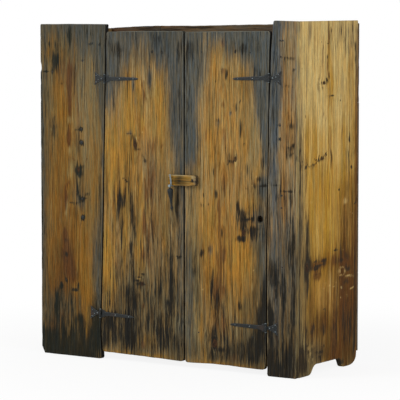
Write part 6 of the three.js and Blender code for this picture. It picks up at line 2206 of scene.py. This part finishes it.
@dataclass(frozen=True)
class Studio:
    """Camera, lamps, floor and white surroundings."""

    eye: tuple[float, float, float] = (4.4145, -6.528, 1.206)
    azimuth: float = 33.9
    down: float = 4.03
    lens: float = 174.3
    ambient: float = 0.52
    key: float = 86.0
    fill: float = 70.0

    def camera(self) -> None:
        """The photograph's viewpoint."""
        az, dip = math.radians(self.azimuth), math.radians(self.down)
        look = Vector((-math.sin(az) * math.cos(dip), math.cos(az) * math.cos(dip), -math.sin(dip)))
        bpy.ops.object.camera_add(location=self.eye, rotation=look.to_track_quat("-Z", "Y").to_euler())
        camera = bpy.context.object
        camera.data.lens, camera.data.sensor_width = self.lens, 36.0
        camera.data.clip_end = 100
        bpy.context.scene.camera = camera

    @staticmethod
    def lamp(name: str, place: tuple, aim: tuple, power: float, size: float) -> None:
        """A square soft lamp that looks at a point.

        Args:
            name: the lamp's name.
            place: where it stands, in metres.
            aim: the point, in metres.
            power: in watts.
            size: its width in metres.
        """
        bpy.ops.object.light_add(type="AREA", location=place)
        lamp = bpy.context.object
        lamp.name = name
        lamp.rotation_euler = (Vector(aim) - Vector(place)).to_track_quat("-Z", "Y").to_euler()
        lamp.data.energy, lamp.data.size = power, size

    def lamps(self) -> None:
        """A key from the upper left and a fill from the right."""
        self.lamp("key", (-2.2, -3.4, 2.9), (0, -0.2, 0.7), self.key, 1.8)
        self.lamp("fill", (4.2, -1.6, 1.9), (0.4, 0, 0.7), self.fill, 2.4)

    def surroundings(self) -> None:
        """White for the camera and in reflections, an even soft light for everything else."""
        world = bpy.data.worlds.new("studio")
        bpy.context.scene.world = world
        world.use_nodes = True
        tree = world.node_tree
        soft, white = tree.nodes["Background"], tree.nodes.new("ShaderNodeBackground")
        for shade, strength in ((soft, self.ambient), (white, 1.0)):
            shade.inputs["Color"].default_value = (1, 1, 1, 1)
            shade.inputs["Strength"].default_value = strength
        rays = tree.nodes.new("ShaderNodeLightPath")
        mask = rays.outputs["Is Camera Ray"]
        for name in ("Is Glossy Ray", "Is Transmission Ray"):
            both = tree.nodes.new("ShaderNodeMath")
            both.operation = "MAXIMUM"
            tree.links.new(mask, both.inputs[0])
            tree.links.new(rays.outputs[name], both.inputs[1])
            mask = both.outputs[0]
        mix = tree.nodes.new("ShaderNodeMixShader")
        for index, socket in enumerate((mask, soft.outputs[0], white.outputs[0])):
            tree.links.new(socket, mix.inputs[index])
        tree.links.new(mix.outputs[0], tree.nodes["World Output"].inputs[0])

    def floor(self) -> None:
        """A white floor that keeps a pale shadow."""
        bare_selection()
        bpy.ops.mesh.primitive_plane_add(size=60, location=(0, 0, 0))
        floor = bpy.context.object
        floor.name = "floor"
        g = Graph("floor_white")
        paint = {"Base Color": (0.96, 0.96, 0.96), "Roughness": 0.95, "Specular IOR Level": 0.1}
        for key, value in paint.items():
            g.feed(g.shader.inputs[key], value)
        glow = g.node("ShaderNodeEmission", inputs={"Color": (1.0, 1.0, 1.0), "Strength": 1.0})
        seen = g.node("ShaderNodeLightPath", out="Is Camera Ray")
        lit = Sock(g, g.shader.outputs[0])
        x, y, _ = g.axes()
        far = g.ease((x ** 2 + y ** 2) ** 0.5, 0.7, 2.2)
        mix = g.node("ShaderNodeMixShader", inputs={0: seen * (far * 0.12 + 0.88), 1: lit, 2: glow})
        g.feed(g.tree.nodes["Material Output"].inputs["Surface"], mix)
        floor.data.materials.append(g.material)

    def build(self) -> None:
        """Sets up the whole studio."""
        self.camera()
        self.lamps()
        self.surroundings()
        self.floor()
        bpy.context.scene.view_settings.view_transform = "Standard"


# ---- the whole


def hinges() -> list[StrapHinge]:
    """The four hinges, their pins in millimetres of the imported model's frame.

    Returns:
        The hinges, not yet built.
    """
    left, right = Vector((0.025518, 0, 0.999674)), Vector((0.011139, 0, 0.999938))
    y = -228.3  # how far forward the pins stand
    return [
        StrapHinge(f"{side}_{level}", f"{side}_door", hand, Vector((x, y, z)) * MM, axis, drop, seed=seed)
        for side, level, hand, x, z, axis, drop, seed in (
            ("left", "upper", 1, -285.883, 1145, left, -4, 2),
            ("left", "lower", 1, -310.312, 188, left, 1, 5),
            ("right", "upper", -1, 497.112, 1151, right, 6, 8),
            ("right", "lower", -1, 486.384, 188, right, 0, 12),
        )]


def nails(heads: NailHeads, boards: dict[str, Slab], iron: bpy.types.Material) -> None:
    """The nail heads on the stiles and the doors: across, along, width, height.

    Args:
        heads: the nail heads.
        boards: the boards that they are driven through, by name.
        iron: their finish.
    """
    groups = {
        "stile_nails": ("carcass", {
            "wide": [
                (218, 1218, 9, 1.3), (268, 1288, 9, 1.3), (254, 1285, 7, 1.2), (304, 1283, 7, 1.2),
                (212, 938, 10, 1.4), (212, 884, 14, 1.6), (214, 652, 9, 1.2), (217, 577, 15, 1.6),
                (62, 1172, 8, 1.2), (131, 315, 6, 1.2)],
            "narrow": [
                (1163, 1293, 7, 1.2), (1176, 1293, 7, 1.2), (1165, 1232, 8, 1.3), (1225, 1183, 6, 1.2),
                (1164, 970, 9, 1.3), (1162, 918, 9, 1.3), (1173, 702, 8, 1.3), (1172, 655, 8, 1.3),
                (1176, 427, 7, 1.2)],
        }),
        "left_door_nails": ("left_door", {"left": [
            (401, 1250, 6, 1.2), (567, 1252, 6, 1.2), (615, 1249, 6, 1.2), (692, 1251, 6, 1.2),
            (410, 150, 6, 1.2), (650, 149, 6, 1.2)]}),
        "right_door_nails": ("right_door", {"right": [
            (745, 1249, 6, 1.2), (803, 1251, 6, 1.2), (959, 1250, 7, 1.2), (1028, 1248, 6, 1.2),
            (790, 146, 6, 1.2), (1040, 147, 6, 1.2)]}),
    }
    for name, (body, rows) in groups.items():
        made = [head for board, places in rows.items() for head in heads.row(places, boards[board], 0.1)]
        settle(joined(made), name, body, iron)


def pines() -> dict[str, bpy.types.Material]:
    """The wood of each board, or of boards that lie alike, by name.

    Returns:
        The materials by name.
    """
    inner = dict(
        fresh=(0.118, 0.088, 0.056), honey=(0.108, 0.064, 0.034), grey=(0.066, 0.060, 0.050),
        soot=(0.022, 0.018, 0.015), red=(0.070, 0.036, 0.020), edge_colour_and_shade=(0.060, 0.032, 0.016), gold=0.2)
    woods = {
        "right_side": dict(
            pith=(0.03, 0.56), grain=Grain.UPRIGHT_SIDE, seed=5.0, fresh=(0.50, 0.362, 0.142),
            honey=(0.355, 0.192, 0.023), brown=(0.230, 0.140, 0.048), grey=(0.21, 0.155, 0.080),
            soot=(0.028, 0.021, 0.014), red=(0.100, 0.040, 0.012), pale=(0.54, 0.37, 0.14),
            umber=(0.054, 0.043, 0.026), burnt=(0.068, 0.029, 0.007), ruddy=(0.310, 0.165, 0.046),
            olive=(0.370, 0.285, 0.120), hues=0.5, mottle=0.45, grime=0.7, gold=0.0),
        "left_side": dict(pith=(0.05, -0.54), grain=Grain.UPRIGHT_SIDE, seed=6.0, fresh=(0.22, 0.15, 0.07)),
        "left_stile": dict(
            pith=(-0.44, FRONT + 0.07), seed=1.0, fresh=(0.172, 0.116, 0.044), honey=(0.200, 0.100, 0.017),
            soot=(0.014, 0.016, 0.013), red=(0.085, 0.035, 0.013), pale=(0.340, 0.250, 0.100),
            olive=(0.200, 0.158, 0.082), gold=0.15),
        "right_stile": dict(
            pith=(0.50, FRONT + 0.16), seed=2.0, fresh=(0.245, 0.172, 0.085), grey=(0.058, 0.071, 0.078),
            umber=(0.076, 0.053, 0.024), edge_colour_and_shade=(0.360, 0.262, 0.110), edge_own_colour=1.0, gold=0.1),
        "left_door": dict(
            pith=(-0.0935, FRONT + 0.055), seed=3.0, fresh=(0.256, 0.176, 0.080),
            honey=(0.304, 0.168, 0.033), grey=(0.058, 0.063, 0.060), pale=(0.370, 0.250, 0.095), taper=0.03,
            contrast=1.2, gold=0.3),
        "right_door": dict(
            pith=(0.2865, FRONT + 0.06), seed=4.0, fresh=(0.270, 0.186, 0.080), honey=(0.312, 0.164, 0.031),
            grey=(0.064, 0.072, 0.070), pale=(0.370, 0.260, 0.105), taper=0.03, contrast=1.2, gold=0.25),
        "inner_across": dict(pith=(0.7, 0.4), grain=Grain.ACROSS, seed=7.0, **inner),
        "inner_level": dict(pith=(0.05, 0.9), grain=Grain.LEVEL, seed=8.0, **inner),
        "inner_deep": dict(pith=(0.6, 0.1), grain=Grain.DEEP, seed=9.0, **inner),
        "latch": dict(
            pith=(0.79, FRONT - 0.06), grain=Grain.ACROSS, seed=10.0, fresh=(0.25, 0.168, 0.066),
            honey=(0.245, 0.135, 0.024), grey=(0.16, 0.15, 0.12), umber=(0.045, 0.028, 0.010), gold=0.5,
            ring=0.004),
    }
    return {name: Pine(f"pine_{name}", **wood).material() for name, wood in woods.items()}


def doors() -> list[Door]:
    """The two doors, each drawn along its stile's edge.

    Returns:
        The left door and the right one, not yet built.
    """
    left_edge = [(z, x + LEFT_GAP) for z, x in LEFT_STILE_EDGE]
    low, high = RIGHT_GAP[0][0], RIGHT_GAP[-1][0]
    heights = sorted({z for z, _ in RIGHT_GAP} | {z for z, _ in RIGHT_STILE_EDGE if low < z < high})
    right_edge = [(z, float(along(RIGHT_STILE_EDGE, z) - along(RIGHT_GAP, z))) for z in heights]
    return [
        Door(
            "left", left_edge, [(0, 716.4), (1100, 716.4), (1340, 715)],
            [(310, 31), (420, 29), (600, 25.5), (717, 23)], [(340, 1334.5), (520, 1336), (717, 1334)],
            LEFT_DOOR_WEATHER, knots=[(483, 888, 10, 30), (515, 322, 9, 12)],
            splits=[(478, 430, 700, 3), (455, 60, 260, 3)], holes=[], seed=101),
        Door(
            "right", [(0, 723.6), (1100, 723.6), (1340, 724.5)], right_edge,
            [(723, 21), (760, 22), (850, 26), (930, 25.5), (990, 24), (1100, 22)],
            [(723, 1330), (930, 1331.5), (1120, 1330)],
            RIGHT_DOOR_WEATHER, knots=[(962, 836, 10, 13), (1000, 550, 12, 18), (866, 108, 16, 22)],
            splits=[(884, 120, 330, 3), (960, 150, 300, 2)], holes=[(1075, 608, 23)], seed=113),
    ]


def main() -> None:
    """Builds the cupboard in order and reports each piece."""
    logging.basicConfig(level=logging.INFO, format="%(message)s")
    bare_selection()
    Studio().build()
    iron = Iron().material()
    pine = pines()

    case = Case()
    case.sides(pine["right_side"], pine["left_side"])
    wide, narrow = case.stiles(pine["left_stile"], pine["right_stile"])
    case.inside(pine["inner_across"], pine["inner_level"], pine["inner_deep"])
    case.back_wall(pine["inner_across"])
    left, right = (door.build(pine[f"{door.side}_door"], pine["inner_across"]) for door in doors())

    heads = NailHeads()
    for hinge in hinges():
        hinge.plate(heads, iron)
        hinge.strap(heads, iron)
        hinge.spindle(iron)
    latch = Latch()
    latch.bar(pine["latch"])
    latch.pivot(iron)
    latch.catch(iron)
    latch.drop(iron)
    nails(heads, {"wide": wide, "narrow": narrow, "left": left, "right": right}, iron)
    heads.put_away()


if __name__ == "__main__":
    main()
